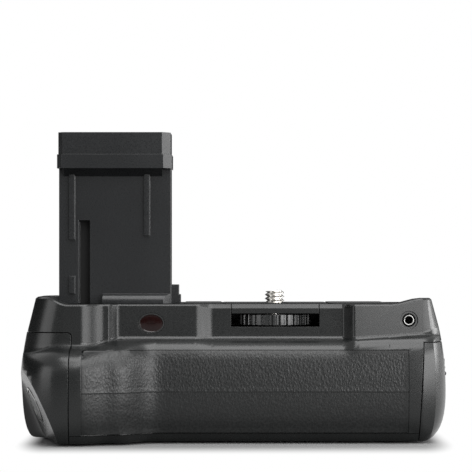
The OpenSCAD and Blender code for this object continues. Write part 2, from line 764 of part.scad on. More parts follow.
// Wheel window, open to the top for the cover's tongue, and the screw's passage
module wheel_cuts() {
    block([-window_half, -bay_reach - over, window_z[0]], [window_half, 0, window_z[1]]);
    block([-window_half, -bay_reach - over, window_z[1] - over],
        [window_half, tongue_t + fit_gap - bay_reach, deck_z + over]);
    translate([0, cover_y, deck_z - cover_t])
        plate(cover_w + 2 * fit_gap, cover_d + 2 * fit_gap, cover_t + over, cover_r + fit_gap);
    cylinder(r = screw_r + screw_room, h = big);
    for (p = bracket_points)
        translate([p[0], p[1], deck_under - over]) cylinder(r = small_r, h = bracket_bite + over);
}

// Receiver window and remote socket in the front wall
module front_cuts() {
    receiver_prism(-over, over + receiver_t, fit_gap);
    receiver_prism(-over, receiver_stand + housing_wall + 2 * over, -receiver_lip);
    translate([socket_x, -socket_reach - over, socket_z]) {
        rod_y(socket_recess_r, over + socket_recess);
        rod_y(ring_r + press_gap, housing_wall + 2 * over);
    }
}

// Recesses for the thumb pad and the power switch in the rear wall
module rear_cuts() {
    on_rear(thumb_x, thumb_z, thumb_depth)
        plate(thumb_w + 2 * fit_gap, thumb_h + 2 * fit_gap, thumb_depth + over, thumb_r + fit_gap);
    on_rear(switch_x, switch_z, switch_recess)
        plate(knob_w + knob_travel + 2 * knob_side, knob_h + 2 * knob_edge, switch_recess + over, knob_r);
    block([switch_x - slot_half, room_y[1] - over, switch_z - stem_h / 2 - slide_gap],
        [switch_x + slot_half, rear_reach, switch_z + stem_h / 2 + slide_gap]);
}

// Seat of the tower and its tab, its screws and the slot for its flat lead
module tower_cuts() {
    block([-tower_left - tab_out - fit_gap, tower_y - tab_front - fit_gap, deck_z],
        [tower_right, tower_y + tab_rear + fit_gap, big]);
    block([-tower_left - fit_gap, tower_wall_y - fit_gap, deck_z],
        [tower_right, tower_back_y + fit_gap, big]);
    for (x = tower_screw_x)
        translate([x, tower_y, deck_under - over]) cylinder(r = small_r + fit_gap, h = deck_t + 2 * over);
    flex_passage(deck_under - over, deck_z + over);
}

// Slot through which the flat lead passes, between two heights
module flex_passage(from, to) {
    half = flex_w / 2 + flex_room;
    block([flex_x - half, tower_y - flex_slot, from], [flex_x + half, tower_y + flex_slot, to]);
}

// Room for the button's switch, stepped back at the top where the shoulder falls away
module switch_room(from, to) {
    block([from, pocket_y[0], pocket_z[0]], [to, pocket_y[1], pocket_z[1]]);
    block([from, pocket_y[0] + pocket_step, pocket_z[0]], [to, pocket_y[1], pocket_z[2]]);
}

// Contact pocket, wiring hole and screw holes in the bulkhead, and relief for the button's switch
module bulkhead_cuts() {
    block([chamber_end - contact_pocket, pack_y - contact_pocket_half, contact_pocket_z[0]],
        [chamber_end + over, pack_y + contact_pocket_half, contact_pocket_z[1]]);
    switch_room(-left_seam - over, relief - left_seam);
    translate([-left_seam - over, wire_y, wire_z]) rod_x(wire_r, bulkhead + 2 * over);
    for (p = cap_points)
        translate([-left_seam - over, p[0], p[1]]) rod_x(small_r + fit_gap, bulkhead + 2 * over);
}

// Keeps the right horn to the front edge, clear of the camera's bottom
module right_horn_cut() {
    along_x(right_horn_from - 2 * over, big) polygon([[horn_back_y, deck_z + big],
        [horn_back_y + right_horn, deck_z], [big, deck_z], [big, deck_z + big]]);
}

// The body in one piece above the base plate, hollowed for chamber, board, wheel and sockets
module main_housing() {
    color(body_black) difference() {
        body_loft(body_stations, housing_levels);
        left_zone(0);
        drawer_zone(0);
        front_sheet(panel_x + [-fit_gap, fit_gap], panel_z + [-fit_gap, fit_gap], -skin_clear, skin_t);
        inner_rooms();
        wheel_cuts();
        front_cuts();
        rear_cuts();
        tower_cuts();
        bulkhead_cuts();
        right_horn_cut();
        // Holes for the base plate's screws
        for (p = base_points) translate([p[0], p[1], 0]) cylinder(r = small_r, h = base_bite_z);
        // Keeper of the drawer's latch
        bolt_way(drawer_cap_z - over, keeper_z);
    }
}

// The way of the latch's bolt between two heights
module bolt_way(from, to) {
    half = bolt_w / 2 + slide_gap;
    block([bolt_x - slide_gap, latch_y - half, from], [bolt_x + bolt_t + slide_gap, latch_y + half, to]);
}

// The bottom of the body, with the rounded edge all round and ribs under the chamber
module base_plate() {
    rib_half = base_open_half - base_rib_gap;
    color(body_black) difference() {
        union() {
            body_loft(base_stations, base_levels);
            for (x = rib_x) block([x - base_rib_w / 2, pack_y - rib_half, base_split_z - over],
                [x + base_rib_w / 2, pack_y + rib_half, chamber_z - fit_gap]);
        }
        drawer_zone(0);
        cylinder(r = bush_r + press_gap, h = big);
        cylinder(r = bush_flange_r + press_gap, h = base_z + bush_flange_t);
        for (p = base_points) translate([p[0], p[1], 0]) {
            cylinder(r = small_r + fit_gap, h = chamber_z);
            cylinder(r = small_head_r + base_head_room, h = base_z + small_head_h + fit_gap);
        }
        for (p = foot_points) translate([p[0], p[1], 0])
            plate(foot_l, foot_w, base_z + foot_inset, foot_w / 2);
    }
}

// The hand end of the body, with the facet that carries the shutter button
module left_end_cap() {
    color(body_black) difference() {
        intersection() {
            body_loft(left_cap_stations, left_cap_levels);
            left_zone(seam_gap);
        }
        facet_scoop();
        difference() {
            switch_room(cap_end_wall - left_reach, over - left_seam);
            outside_facet(facet_wall);
            on_facet() for (s = [-1, 1])
                translate([0, s * switch_post, -switch_depth]) cylinder(r = switch_post_r, h = switch_depth);
        }
        on_facet() {
            translate([0, 0, -facet_wall - over]) cylinder(r = button_r + slide_gap, h = big);
            translate([0, 0, -bezel_t]) cylinder(r = bezel_r + press_gap, h = big);
            translate([0, 0, -button_lip - flange_room])
                cylinder(r = button_flange_r + slide_gap, h = flange_room);
        }
        for (p = cap_points)
            translate([-left_seam - cap_bite, p[0], p[1]]) rod_x(small_r, cap_bite + over);
    }
}

// The grained skin inlaid in the front
module front_grip_panel() {
    color(rubber_black) front_sheet(panel_x, panel_z, -skin_proud, skin_t - fit_gap);
}

// The rubber pad under the thumb, at the back, with upright grooves
module thumb_pad() {
    top = thumb_depth + skin_proud;
    pitch = thumb_w / (thumb_grooves + 1);
    color(rubber_black) on_rear(thumb_x, thumb_z, thumb_depth) difference() {
        plate(thumb_w, thumb_h, top, thumb_r);
        for (i = [1:thumb_grooves]) translate([i * pitch - thumb_w / 2, 0, top]) rotate([90, 0, 0])
            cylinder(r = groove_deep, h = thumb_h - 2 * groove_margin, center = true);
    }
}

// The plate round the camera screw, let into the deck, with a tongue that closes the wheel window
module wheel_cover() {
    half = window_half - tongue_gap;
    color(body_black) difference() {
        union() {
            translate([0, cover_y, deck_z - cover_t]) plate(cover_w, cover_d, cover_t, cover_r);
            along_x(-half, half) polygon([[-bay_reach, window_z[1]], [-bay_reach, deck_z - edge_chamfer],
                [edge_chamfer - bay_reach, deck_z], [tongue_t - bay_reach, deck_z],
                [tongue_t - bay_reach, window_z[1]]]);
        }
        cylinder(r = screw_r + screw_room, h = big);
    }
}

// The bracket that carries the camera screw under the deck
module wheel_bracket() {
    color(body_black) difference() {
        union() {
            translate([0, bracket_y, bracket_top - bracket_t])
                plate(bracket_w, bracket_d, bracket_t, bracket_r);
            for (s = [-1, 1]) translate([s * bracket_post_x, bracket_y, bracket_top - over])
                plate(bracket_post_w, bracket_d, deck_under - bracket_top + over, bracket_post_r);
        }
        cylinder(r = journal_r + run_gap, h = big);
        for (p = bracket_points)
            translate([p[0], p[1], 0]) cylinder(r = small_r + fit_gap, h = big);
    }
}

module bracket_screws() {
    l = bracket_t + deck_under - bracket_top + bracket_bite - tip_gap;
    color(steel) for (p = bracket_points)
        translate([p[0], p[1], bracket_top - bracket_t]) screw_up(small_r, l, small_head_r, small_head_h);
}

// Thin pads on which the camera's base sits
module deck_pads() {
    color(rubber_black) {
        difference() {
            translate([0, cover_y, deck_z]) plate(cover_w - 2 * pad_side, cover_d, pad_t, cover_r);
            cylinder(r = screw_r + pad_hole, h = big);
        }
        for (p = side_pads)
            translate([(p[0] + p[1]) / 2, pad_y, deck_z]) plate(p[1] - p[0], pad_d, pad_t, pad_r);
    }
}

// A guide rib on the tower's front, from the left side and between two heights
module tower_rib(from_left, low, high) {
    x = from_left - tower_left;
    block([x, tower_wall_y - rib_out, low], [x + rib_w, tower_wall_y + over, high]);
}

// The foot's outline: a ledge with a round edge in front, flat at the back
module foot_outline() {
    centre = [foot_round - tower_front, deck_z + foot_step - foot_round];
    polygon(concat([[tower_back_y, deck_z], [tower_back_y, deck_z + foot_step]],
        [for (a = [90:15:180]) centre + foot_round * [cos(a), sin(a)]], [[-tower_front, deck_z]]));
}

// The shaft of the tower, open at the back, with ribs and a keyway on its front
module tower_body() {
    color(body_black) difference() {
        union() {
            block([-tower_left, tower_wall_y, deck_z], [tower_right, tower_back_y, head_z]);
            along_x(ledge_from - tower_left, tower_right) foot_outline();
            block([-tower_left - tab_out, tower_y - tab_front, deck_z],
                [over - tower_left, tower_y + tab_rear, deck_z + tab_h]);
            for (s = side_steps) block([tower_right - over, tower_y - side_step_half, deck_z],
                [tower_right + s[0], tower_y + side_step_half, deck_z + s[1]]);
            for (r = upper_ribs) tower_rib(r[0], head_z - r[1] - r[2], head_z - r[1]);
            tower_rib(lower_rib[0], deck_z + lower_rib[1], deck_z + lower_rib[1] + lower_rib[2]);
        }
        // Hollow, open towards the back cover, with a wall round the keyway
        difference() {
            block([tower_wall - tower_left, tower_wall_y + tower_wall, deck_z + tower_floor],
                [tower_right - tower_wall, tower_back_y + over, head_z + over]);
            block([key_x - key_wall - tower_left, tower_wall_y, deck_z],
                [key_x + key_w + key_wall - tower_left, tower_wall_y + key_deep + key_wall,
                    head_z - key_drop + key_wall]);
        }
        head_wedge(fit_gap);
        // Keyway in the front wall
        block([key_x - tower_left, -tower_front - over, deck_z - over],
            [key_x + key_w - tower_left, tower_wall_y + key_deep, head_z - key_drop]);
        flex_passage(deck_z - over, deck_z + tower_floor + over);
        for (x = tower_screw_x)
            translate([x, tower_y, deck_z - over]) cylinder(r = small_r, h = tower_floor + 2 * over);
        // Corner chamfer at the foot
        translate([tower_right, -tower_front, deck_z]) rotate([0, 0, 45])
            cube([foot_cut, foot_cut, 3 * foot_step], center = true);
    }
}

// The cover at the back of the tower
module tower_back() {
    color(body_black) block(
        [tower_wall + fit_gap - tower_left, tower_back_y - back_t, deck_z + tower_floor + fit_gap],
        [tower_right - tower_wall - fit_gap, tower_back_y, head_z - fit_gap]);
}

// The sloping underside of the head that leads back to the shaft
module head_wedge(gap) {
    along_x(head_cut_l - gap - tower_left, tower_right - head_cut_r + gap) polygon([
        [-tower_front, head_z - gap], [tower_wall_y, head_z - head_slope - gap], [tower_wall_y, head_z]]);
}

// The head's outline with its chamfered front corners, grown by a step
module head_outline(step) {
    width = tower_right + tower_left + 2 * step;
    depth = tower_back_y + tower_front;
    translate([-tower_left - step, -tower_front - step / 2]) polygon([[head_cut_l, 0],
        [width - head_cut_r, 0], [width, head_cut_r], [width, depth], [0, depth], [0, head_cut_l]]);
}

// The head of the tower, with chamfered corners, a step and a sloping underside
module tower_head() {
    color(body_black) difference() {
        union() {
            translate([0, 0, head_z]) linear_extrude(head_h) head_outline(0);
            translate([0, 0, head_z]) linear_extrude(head_step_h) head_outline(head_step);
            head_wedge(0);
        }
        block([tower_wall - tower_left, tower_wall_y + tower_wall, head_z - over],
            [tower_right - tower_wall, tower_back_y - back_t, tower_top - tower_wall]);
        // Slots for the contacts in the top
        for (i = [0:3]) translate([blade_x + i * blade_pitch, blade_y, tower_top])
            block([-fit_gap, -blade_l / 2 - fit_gap, -blade_slot],
                [blade_w + fit_gap, blade_l / 2 + fit_gap, over]);
    }
}

// Blades in the top of the tower that feed the camera
module tower_contacts() {
    color(brass) for (i = [0:3]) translate([blade_x + i * blade_pitch, blade_y - blade_l / 2, blade_foot])
        cube([blade_w, blade_l, blade_h]);
}

// Screws that pull the tower down on the deck
module tower_screws() {
    color(steel) for (x = tower_screw_x) translate([x, tower_y, deck_under])
        screw_up(small_r, deck_t + tower_floor, small_head_r, small_head_h);
}

// Flat lead from the tower's contacts down to the board
module tower_flex() {
    half = flex_w / 2;
    y = tower_y - flex_t / 2;
    tail_y = blade_y + over;
    color(film_amber) along_x(flex_x - half, flex_x + half) polygon([
        [y, board_z + board_t], [y + flex_t, board_z + board_t], [y + flex_t, blade_foot - flex_t],
        [tail_y, blade_foot - flex_t], [tail_y, blade_foot], [y, blade_foot]]);
}

// Dark red window of the remote receiver
module receiver_window() {
    color(window_red) receiver_prism(-receiver_proud, receiver_t, 0);
}

// The receiver behind the window, with its round lens and three legs
module receiver_sensor() {
    color(inner_black) {
        translate([receiver_x, sensor_y, receiver_z]) {
            translate([-sensor_size[0] / 2, 0, -sensor_size[2] / 2]) cube(sensor_size);
            translate([0, 0, lens_up]) intersection() {
                sphere(r = lens_r);
                block([-lens_r, -lens_r, -lens_r], [lens_r, lens_seat, lens_r]);
            }
        }
        for (i = [-1:1]) translate([receiver_x + i * leg_pitch, sensor_y + sensor_size[1] / 2, 0])
            block([-leg_w / 2, 0, board_z + board_t], [leg_w / 2, leg_w, receiver_z - sensor_size[2] / 2]);
    }
}

// Plated ring of the remote socket
module socket_ring() {
    l = housing_wall - socket_recess + ring_proud;
    color(steel) translate([socket_x, socket_back - l, socket_z]) difference() {
        rod_y(ring_r, l);
        translate([0, -over, 0]) rod_y(jack_r + press_gap, l + 2 * over);
    }
}

// Body of the remote socket behind the wall, on its peg
module remote_socket() {
    color(inner_black) difference() {
        translate([socket_x, socket_back, socket_z]) {
            block([-socket_w / 2, 0, socket_span[0]], [socket_w / 2, socket_l, socket_span[1]]);
            block([-socket_peg[0] / 2, socket_l - 2 * socket_peg[1], socket_span[0] - socket_peg[2]],
                [socket_peg[0] / 2, socket_l - socket_peg[1], socket_span[0]]);
        }
        translate([socket_x, -socket_reach, socket_z]) rod_y(jack_r, jack_depth);
    }
}

// A box-shaped part on the board
module board_box(part) {
    x = part[0] > 0 ? board_x[0] + part[0] : board_x[1] + part[0];
    translate([x, board_y[0] + part[1], board_z + board_t]) cube([part[2], part[3], part[4]]);
}

// The circuit board above the chamber, with its larger parts
module main_board() {
    color(board_green) {
        difference() {
            block([board_x[0], board_y[0], board_z], [board_x[1], board_y[1], board_z + board_t]);
            for (p = board_points) translate([p[0], p[1], 0]) cylinder(r = post_pin_r + fit_gap, h = big);
        }
        board_box(chip);
        board_box(coil_box);
        translate([board_x[1] + capacitor[0], board_y[0] + capacitor[1], board_z + board_t])
            cylinder(r = capacitor[2], h = capacitor[3]);
    }
}

// Slots for a row of contacts, between two x
module contact_slots(from, to) {
    half = contact_w / 2 + contact_slot;
    for (y = contact_rows)
        block([from, y - half, contact_z - contact_slot],
            [to, y + half, contact_z + contact_h + contact_slot]);
}

// The sleeve that the drawer slides in, with posts for the board
module battery_chamber() {
    color(inner_black) difference() {
        union() {
            block([chamber_end, chamber_y[0], chamber_z], [chamber_out, chamber_y[1], chamber_top]);
            for (p = board_points) translate([p[0], p[1], chamber_top - drawer_wall / 2]) {
                cylinder(r = post_r, h = board_z - chamber_top + drawer_wall / 2);
                cylinder(r = post_pin_r, h = board_z + board_t - chamber_top + post_pin_out);
            }
        }
        block([chamber_in, chamber_y[0] + drawer_wall, chamber_z + drawer_wall],
            [big, chamber_y[1] - drawer_wall, chamber_top - drawer_wall]);
        contact_slots(chamber_end - over, chamber_in + over);
    }
}

// Contacts in the sleeve's end that meet the drawer's own
module chamber_contacts() {
    color(brass) for (y = contact_rows) block([chamber_end - contact_tail, y - contact_w / 2, contact_z],
        [chamber_in - press_gap, y + contact_w / 2, contact_z + contact_h]);
}

// Threaded bush for a tripod
module tripod_bush() {
    color(steel) difference() {
        union() {
            cylinder(r = bush_flange_r, h = base_z + bush_flange_t);
            cylinder(r = bush_r, h = bush_h);
        }
        translate([0, 0, -over]) cylinder(r = screw_r, h = over + tripod_depth);
    }
}

// Rubber feet let into the base
module base_feet() {
    color(rubber_black) for (p = foot_points) translate([p[0], p[1], 0])
        plate(foot_l - 2 * fit_gap, foot_w - 2 * fit_gap, base_z + foot_inset, foot_w / 2 - fit_gap);
}

module base_screws() {
    seat = base_z + small_head_h + fit_gap;
    color(steel) for (p = base_points) translate([p[0], p[1], seat])
        screw_up(small_r, base_bite_z - seat - tip_gap, small_head_r, small_head_h);
}

// Screws that hold the hand end cap, from inside the housing
module cap_screws() {
    l = left_seam + chamber_end - fit_gap + cap_bite - tip_gap;
    color(steel) for (p = cap_points) translate([chamber_end - fit_gap, p[0], p[1]]) rotate([0, -90, 0])
        screw_up(small_r, l, small_head_r, small_head_h);
}

// Bright ring round the shutter button
module button_bezel() {
    color(steel) on_facet() translate([0, 0, -bezel_t]) difference() {
        cylinder(r = bezel_r, h = bezel_t + bezel_proud);
        translate([0, 0, -over]) cylinder(r = button_r + slide_gap, h = big);
    }
}

// The shutter button: dished top, flange that keeps it in, and a stem
module shutter_button() {
    color(inner_black) on_facet() rotate_extrude() polygon([
        [0, button_top - button_dish], [button_r * 0.5, button_top - button_dish * 0.72],
        [button_r * 0.85, button_top], [button_r - button_edge, button_top],
        [button_r, button_top - button_edge], [button_r, -flange_top],
        [button_flange_r, -flange_top], [button_flange_r, -flange_end],
        [stem_r, -flange_end], [stem_r, -stem_end], [0, -stem_end]]);
}

// Points of a coil, and the coil swept along them
function coil_points(r, wire, turns, rise, steps, sides) = [for (i = [0:turns * steps], k = [0:sides - 1])
    let (a = 360 * i / steps, b = 360 * k / sides)
    [(r + wire * cos(b)) * cos(a), (r + wire * cos(b)) * sin(a), rise * i / steps + wire * sin(b)]];
module coil(r, wire, turns, rise) {
    steps = 14;
    sides = 6;
    rings = turns * steps;
    points = coil_points(r, wire, turns, rise, steps, sides);
    walls = [for (i = [0:rings - 1], k = [0:sides - 1])
        let (a = i * sides + k, b = i * sides + (k + 1) % sides)
        each [[a, a + sides, b + sides], [a, b + sides, b]]];
    caps = [for (k = [1:sides - 2]) each [[0, k, k + 1],
        [rings * sides, rings * sides + k + 1, rings * sides + k]]];
    polyhedron(points, concat(walls, caps));
}

// Spring that lifts the button again
module shutter_spring() {
    room = switch_depth - flange_end - 2 * spring_seat - 2 * spring_wire;
    color(steel) on_facet() translate([0, 0, spring_wire + spring_seat - switch_depth])
        coil(spring_r, spring_wire, spring_turns, room / spring_turns);
}

// Small switch on its own board, behind the button
module shutter_switch() {
    plunger = press_switch_h - plunger_gap;
    color(switch_grey) on_facet() translate([0, 0, -switch_depth]) {
        difference() {
            translate([0, 0, -switch_board[2]])
                plate(switch_board[0], switch_board[1], switch_board[2], switch_board_r);
            for (s = [-1, 1]) translate([0, s * switch_post, -big / 2]) cylinder(r = switch_pin_r, h = big);
        }
        translate([-press_switch_w / 2, -press_switch_w / 2, 0])
            cube([press_switch_w, press_switch_w, plunger - plunger_out]);
        cylinder(r = plunger_r, h = plunger);
    }
}

// Fixed part of the power switch, on the inside of the rear wall
module power_switch() {
    half = switch_size[0] / 2;
    slot = stem_h / 2 + 2 * slide_gap;
    color(switch_grey) difference() {
        block([switch_x - half, room_y[1] - switch_size[1], switch_z - switch_size[2] / 2],
            [switch_x + half, room_y[1], switch_z + switch_size[2] / 2]);
        block([switch_x - slot_half, room_y[1] - switch_slot, switch_z - slot],
            [switch_x + slot_half, big, switch_z + slot]);
    }
}

// Knob of the power switch, with upright grooves
module power_knob() {
    x = switch_x - knob_travel / 2;
    color(inner_black) difference() {
        union() {
            block([x - knob_w / 2, knob_y, switch_z - knob_h / 2],
                [x + knob_w / 2, knob_y + knob_t, switch_z + knob_h / 2]);
            block([x - stem_w / 2, room_y[1] - switch_slot + tip_gap, switch_z - stem_h / 2],
                [x + stem_w / 2, knob_y + stem_root, switch_z + stem_h / 2]);
        }
        for (i = [-2:2]) translate([x + i * knob_groove_pitch, knob_y + knob_t, switch_z])
            cylinder(r = knob_groove_r, h = 2 * knob_h, center = true);
    }
}

// The ribbed wheel that turns the camera screw
module thumbwheel() {
    pitch = 360 / wheel_ribs;
    rim = [for (i = [0:wheel_ribs - 1], k = rib_profile)
        (wheel_r - k[1] * rib_deep) * [cos((i + k[0]) * pitch), sin((i + k[0]) * pitch)]];
    color(rubber_black) difference() {
        union() {
            translate([0, 0, wheel_z]) linear_extrude(wheel_h) polygon(rim);
            translate([0, 0, bracket_top + run_gap]) cylinder(r = hub_r, h = hub_h);
        }
        cylinder(r = shank_r + shank_gap, h = big);
        translate([0, 0, wheel_z + wheel_h - dish_deep]) difference() {
            cylinder(r = wheel_r - rim_w, h = big);
            translate([0, 0, -over]) cylinder(r = hub_r, h = 2 * big);
        }
    }
}

// The captive screw: thread, neck, shank in the wheel, journal in the bracket, groove for the clip
module camera_screw() {
    thread_z = screw_top - thread_l;
    shank_z = [bracket_top + 2 * run_gap, wheel_z + wheel_h];
    groove_z = [clip_z - clip_gap, clip_z + clip_t + clip_gap];
    end_z = clip_z - journal_end - journal_tip;
    color(steel) rotate_extrude() polygon([[0, screw_top], [screw_r - screw_tip, screw_top],
        [screw_r, screw_top - screw_tip], [screw_r, thread_z + thread_edge],
        [screw_r - thread_edge, thread_z], [neck_r, thread_z], [neck_r, shank_z[1]],
        [shank_r, shank_z[1]], [shank_r, shank_z[0]],
        [journal_r, shank_z[0]], [journal_r, groove_z[1]], [groove_r, groove_z[1]], [groove_r, groove_z[0]],
        [journal_r, groove_z[0]], [journal_r, end_z + journal_tip], [journal_r - journal_tip, end_z],
        [0, end_z]]);
}

// Clip that keeps the screw in its bracket
module screw_clip() {
    color(steel) translate([0, 0, clip_z]) difference() {
        cylinder(r = journal_r + clip_w, h = clip_t);
        translate([0, 0, -over]) cylinder(r = groove_r + clip_gap, h = clip_t + 2 * over);
        translate([0, -clip_mouth / 2, -over]) cube([big, clip_mouth, clip_t + 2 * over]);
    }
}

// The drawer for two packs, end to end
module battery_drawer() {
    y = [pack_y - drawer_half, pack_y + drawer_half];
    window = [pack_l - 2 * floor_edge, pack_w / 2 - 2 * floor_rib];
    color(inner_black) difference() {
        block([drawer_in, y[0], drawer_z], [drawer_out, y[1], drawer_top]);
        // Tray of each pack, less the divider between them
        block([drawer_in + drawer_wall, y[0] + drawer_wall, pack_z], [inner_pack_x, y[1] - drawer_wall, big]);
        block([inner_pack_x + divider_t, y[0] + drawer_wall, pack_z],
            [outer_pack_x, y[1] - drawer_wall, big]);
        for (x = [inner_pack_x, outer_pack_x]) {
            // Finger cut-outs in both side walls
            translate([x - pack_l / 2, -big / 2, drawer_top + finger_rise]) rod_y(finger_r, big);
            // Windows in the floor
            for (s = [-1, 1]) translate([x - pack_l / 2, pack_y + s * pack_w / 4, drawer_z - over])
                plate(window[0], window[1], drawer_floor + 2 * over, floor_rib);
        }
        // Slots through which the inner contacts reach the chamber's own
        contact_slots(drawer_in - over, drawer_in + drawer_wall + contact_slot);
        for (y = drawer_screw_y)
            translate([drawer_out - 2 * end_wall, y, drawer_screw_z]) rod_x(small_r + fit_gap, 3 * end_wall);
    }
}

// The end of the body that comes out with the drawer
module drawer_cap() {
    plate_half = retainer_w / 2 + fit_gap;
    latch_half = latch_w / 2 + slide_gap;
    piece_half = thumb_piece_w / 2 + slide_gap;
    color(body_black) difference() {
        union() {
            intersection() {
                body_loft(drawer_stations, drawer_levels);
                drawer_zone(seam_gap);
            }
            block([drawer_out, pack_y - plug_half, plug_z[0]],
                [right_seam + plug_l, pack_y + plug_half, plug_z[1]]);
        }
        // Pocket for the latch and its retainer, and the bolt's way out at the top
        block([drawer_out - over, latch_y - plate_half, retainer_z[0] - fit_gap],
            [bolt_x - slide_gap, latch_y + plate_half, retainer_z[1] + fit_gap]);
        block([bolt_x - slide_gap - fit_gap, latch_y - latch_half, latch_z[0] - slide_gap],
            [bolt_x + bolt_t + slide_gap, latch_y + latch_half, latch_z[1] + latch_travel + slide_gap]);
        bolt_way(latch_z[1], drawer_cap_z + over);
        // Slot for the thumb piece in the end
        block([bolt_x, latch_y - piece_half, thumb_piece_z[0] - slide_gap],
            [big, latch_y + piece_half, thumb_piece_z[1] + latch_travel + slide_gap]);
        for (p = retainer_points) translate([bolt_x - over, p[0], p[1]]) rod_x(small_r, retainer_bite + over);
        for (y = drawer_screw_y)
            translate([drawer_out - over, y, drawer_screw_z]) rod_x(small_r, drawer_bite + over);
    }
}

// Screws between drawer and cap
module drawer_screws() {
    color(steel) for (y = drawer_screw_y) translate([drawer_out - end_wall, y, drawer_screw_z])
        rod_x(small_r, end_wall + drawer_bite - tip_gap);
}

// A row of leaf contacts that stand on a wall at x and bend towards the pack
module leaf_row(x, root, bend) {
    mid = contact_z + contact_h / 2;
    color(brass) for (y = contact_rows) translate([0, y, 0]) along_y(contact_w) polygon([
        [x - root, contact_z], [x + bend[0], contact_z], [x + bend[1], mid],
        [x + bend[0], contact_z + contact_h], [x - root, contact_z + contact_h]]);
}

// Leaf contacts at the inner end of each pack
module drawer_contacts() {
    leaf_row(drawer_in + drawer_wall, drawer_wall - contact_slot, contact_bend * contact_space);
    leaf_row(inner_pack_x + divider_t, 0, contact_bend * (contact_space - divider_t));
}

// A battery pack, with its right end at x and contact recesses in its left end
module pack(x) {
    half = contact_w / 2 + 4 * contact_slot;
    low = contact_z - 5 * contact_slot;
    color(switch_grey) difference() {
        translate([x - pack_l / 2, pack_y, pack_z + press_gap])
            plate(pack_l - 2 * press_gap, pack_w, pack_h - press_gap, pack_edge);
        for (y = contact_rows) block([x - pack_l - over, y - half, low],
            [x - pack_l + pack_recess, y + half, contact_z + contact_h + 5 * contact_slot]);
    }
}

module inner_pack() {
    pack(inner_pack_x);
}

module outer_pack() {
    pack(outer_pack_x);
}

// The plate that keeps the latch in its pocket
module latch_retainer() {
    color(steel) difference() {
        block([bolt_x - slide_gap - retainer_t, latch_y - retainer_w / 2, retainer_z[0]],
            [bolt_x - slide_gap, latch_y + retainer_w / 2, retainer_z[1]]);
        for (p = retainer_points)
            translate([bolt_x - big / 2, p[0], p[1]]) rod_x(small_r + fit_gap, big);
    }
}

module latch_screws() {
    l = retainer_t + slide_gap + retainer_bite - tip_gap;
    color(steel) for (p = retainer_points) translate([bolt_x - slide_gap - retainer_t, p[0], p[1]])
        rotate([0, 90, 0]) screw_up(small_r, l, retainer_head_r, retainer_head_h);
}

// The sliding latch: plate, bolt and ridged thumb piece
module latch_slider() {
    ridge_at = [thumb_piece_x - ridge_r / 4, latch_y, thumb_piece_z[0] + ridge_from];
    color(body_black) union() {
        block([bolt_x, latch_y - latch_w / 2, latch_z[0]],
            [bolt_x + bolt_t, latch_y + latch_w / 2, latch_z[1]]);
        block([bolt_x, latch_y - bolt_w / 2, latch_z[1] - over],
            [bolt_x + bolt_t, latch_y + bolt_w / 2, drawer_cap_z - seam_gap - fit_gap]);
        block([bolt_x + bolt_t / 2, latch_y - thumb_piece_w / 2, thumb_piece_z[0]],
            [thumb_piece_x, latch_y + thumb_piece_w / 2, thumb_piece_z[1]]);
        for (i = [0:2]) translate(ridge_at + i * [-ridge_fall, 0, ridge_pitch]) rotate([90, 0, 0])
            cylinder(r = ridge_r, h = thumb_piece_w - over, center = true);
    }
}

main_housing();
base_plate();
left_end_cap();
front_grip_panel();
thumb_pad();
wheel_cover();
wheel_bracket();
bracket_screws();
deck_pads();
tower_body();
tower_back();
tower_head();
tower_contacts();
tower_screws();
tower_flex();
receiver_window();
receiver_sensor();
socket_ring();
remote_socket();
main_board();
battery_chamber();
chamber_contacts();
tripod_bush();
base_feet();
base_screws();
cap_screws();
button_bezel();
shutter_spring();
shutter_switch();
power_switch();
thumbwheel();
camera_screw();
screw_clip();
shutter_button();
power_knob();
battery_drawer();
drawer_cap();
drawer_screws();
drawer_contacts();
inner_pack();
outer_pack();
latch_retainer();
latch_screws();
latch_slider();
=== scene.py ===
# %% [markdown]
# # Dressing a camera battery grip
# A battery grip screws under a camera: a tower fills the camera's battery chamber, and the body
# below holds two packs, a second shutter button and a wheel for the camera screw. The solids
# already have the right sizes and joints. Here each one gets what a mould, a lathe or a stamp
# leaves on the real thing: rounded edges, grain, threads and a finish that answers to light.

# %% Load the solids
import math
import bpy
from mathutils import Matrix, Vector


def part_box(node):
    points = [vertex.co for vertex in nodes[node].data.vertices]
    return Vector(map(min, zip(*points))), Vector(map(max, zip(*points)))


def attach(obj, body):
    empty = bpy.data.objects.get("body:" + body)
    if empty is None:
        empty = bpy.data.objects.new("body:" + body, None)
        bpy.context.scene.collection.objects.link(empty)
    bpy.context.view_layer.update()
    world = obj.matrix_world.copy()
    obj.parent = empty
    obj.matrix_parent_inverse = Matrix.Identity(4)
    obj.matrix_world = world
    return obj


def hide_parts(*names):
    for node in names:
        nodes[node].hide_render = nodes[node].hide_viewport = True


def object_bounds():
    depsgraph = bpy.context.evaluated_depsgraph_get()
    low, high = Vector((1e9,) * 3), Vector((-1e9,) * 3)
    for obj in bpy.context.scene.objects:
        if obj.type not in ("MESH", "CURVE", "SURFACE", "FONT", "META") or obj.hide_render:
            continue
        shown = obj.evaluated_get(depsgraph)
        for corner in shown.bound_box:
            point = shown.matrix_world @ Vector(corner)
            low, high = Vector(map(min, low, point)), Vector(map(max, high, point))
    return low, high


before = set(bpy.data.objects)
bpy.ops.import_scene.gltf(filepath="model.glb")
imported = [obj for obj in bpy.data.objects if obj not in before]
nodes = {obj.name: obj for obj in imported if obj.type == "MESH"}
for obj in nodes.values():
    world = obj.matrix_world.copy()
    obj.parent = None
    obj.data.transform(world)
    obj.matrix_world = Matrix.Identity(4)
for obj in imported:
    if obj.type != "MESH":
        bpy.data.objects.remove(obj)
cad_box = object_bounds()
MM = 0.001

# %% [markdown]
# ## Small tools for working by hand
# Blender's operators act on whatever is selected, and the loaded solids come in selected. So every
# step first leaves one object selected and active, and picks faces or edges by a test on their
# place or direction. These few helpers keep that in one place.


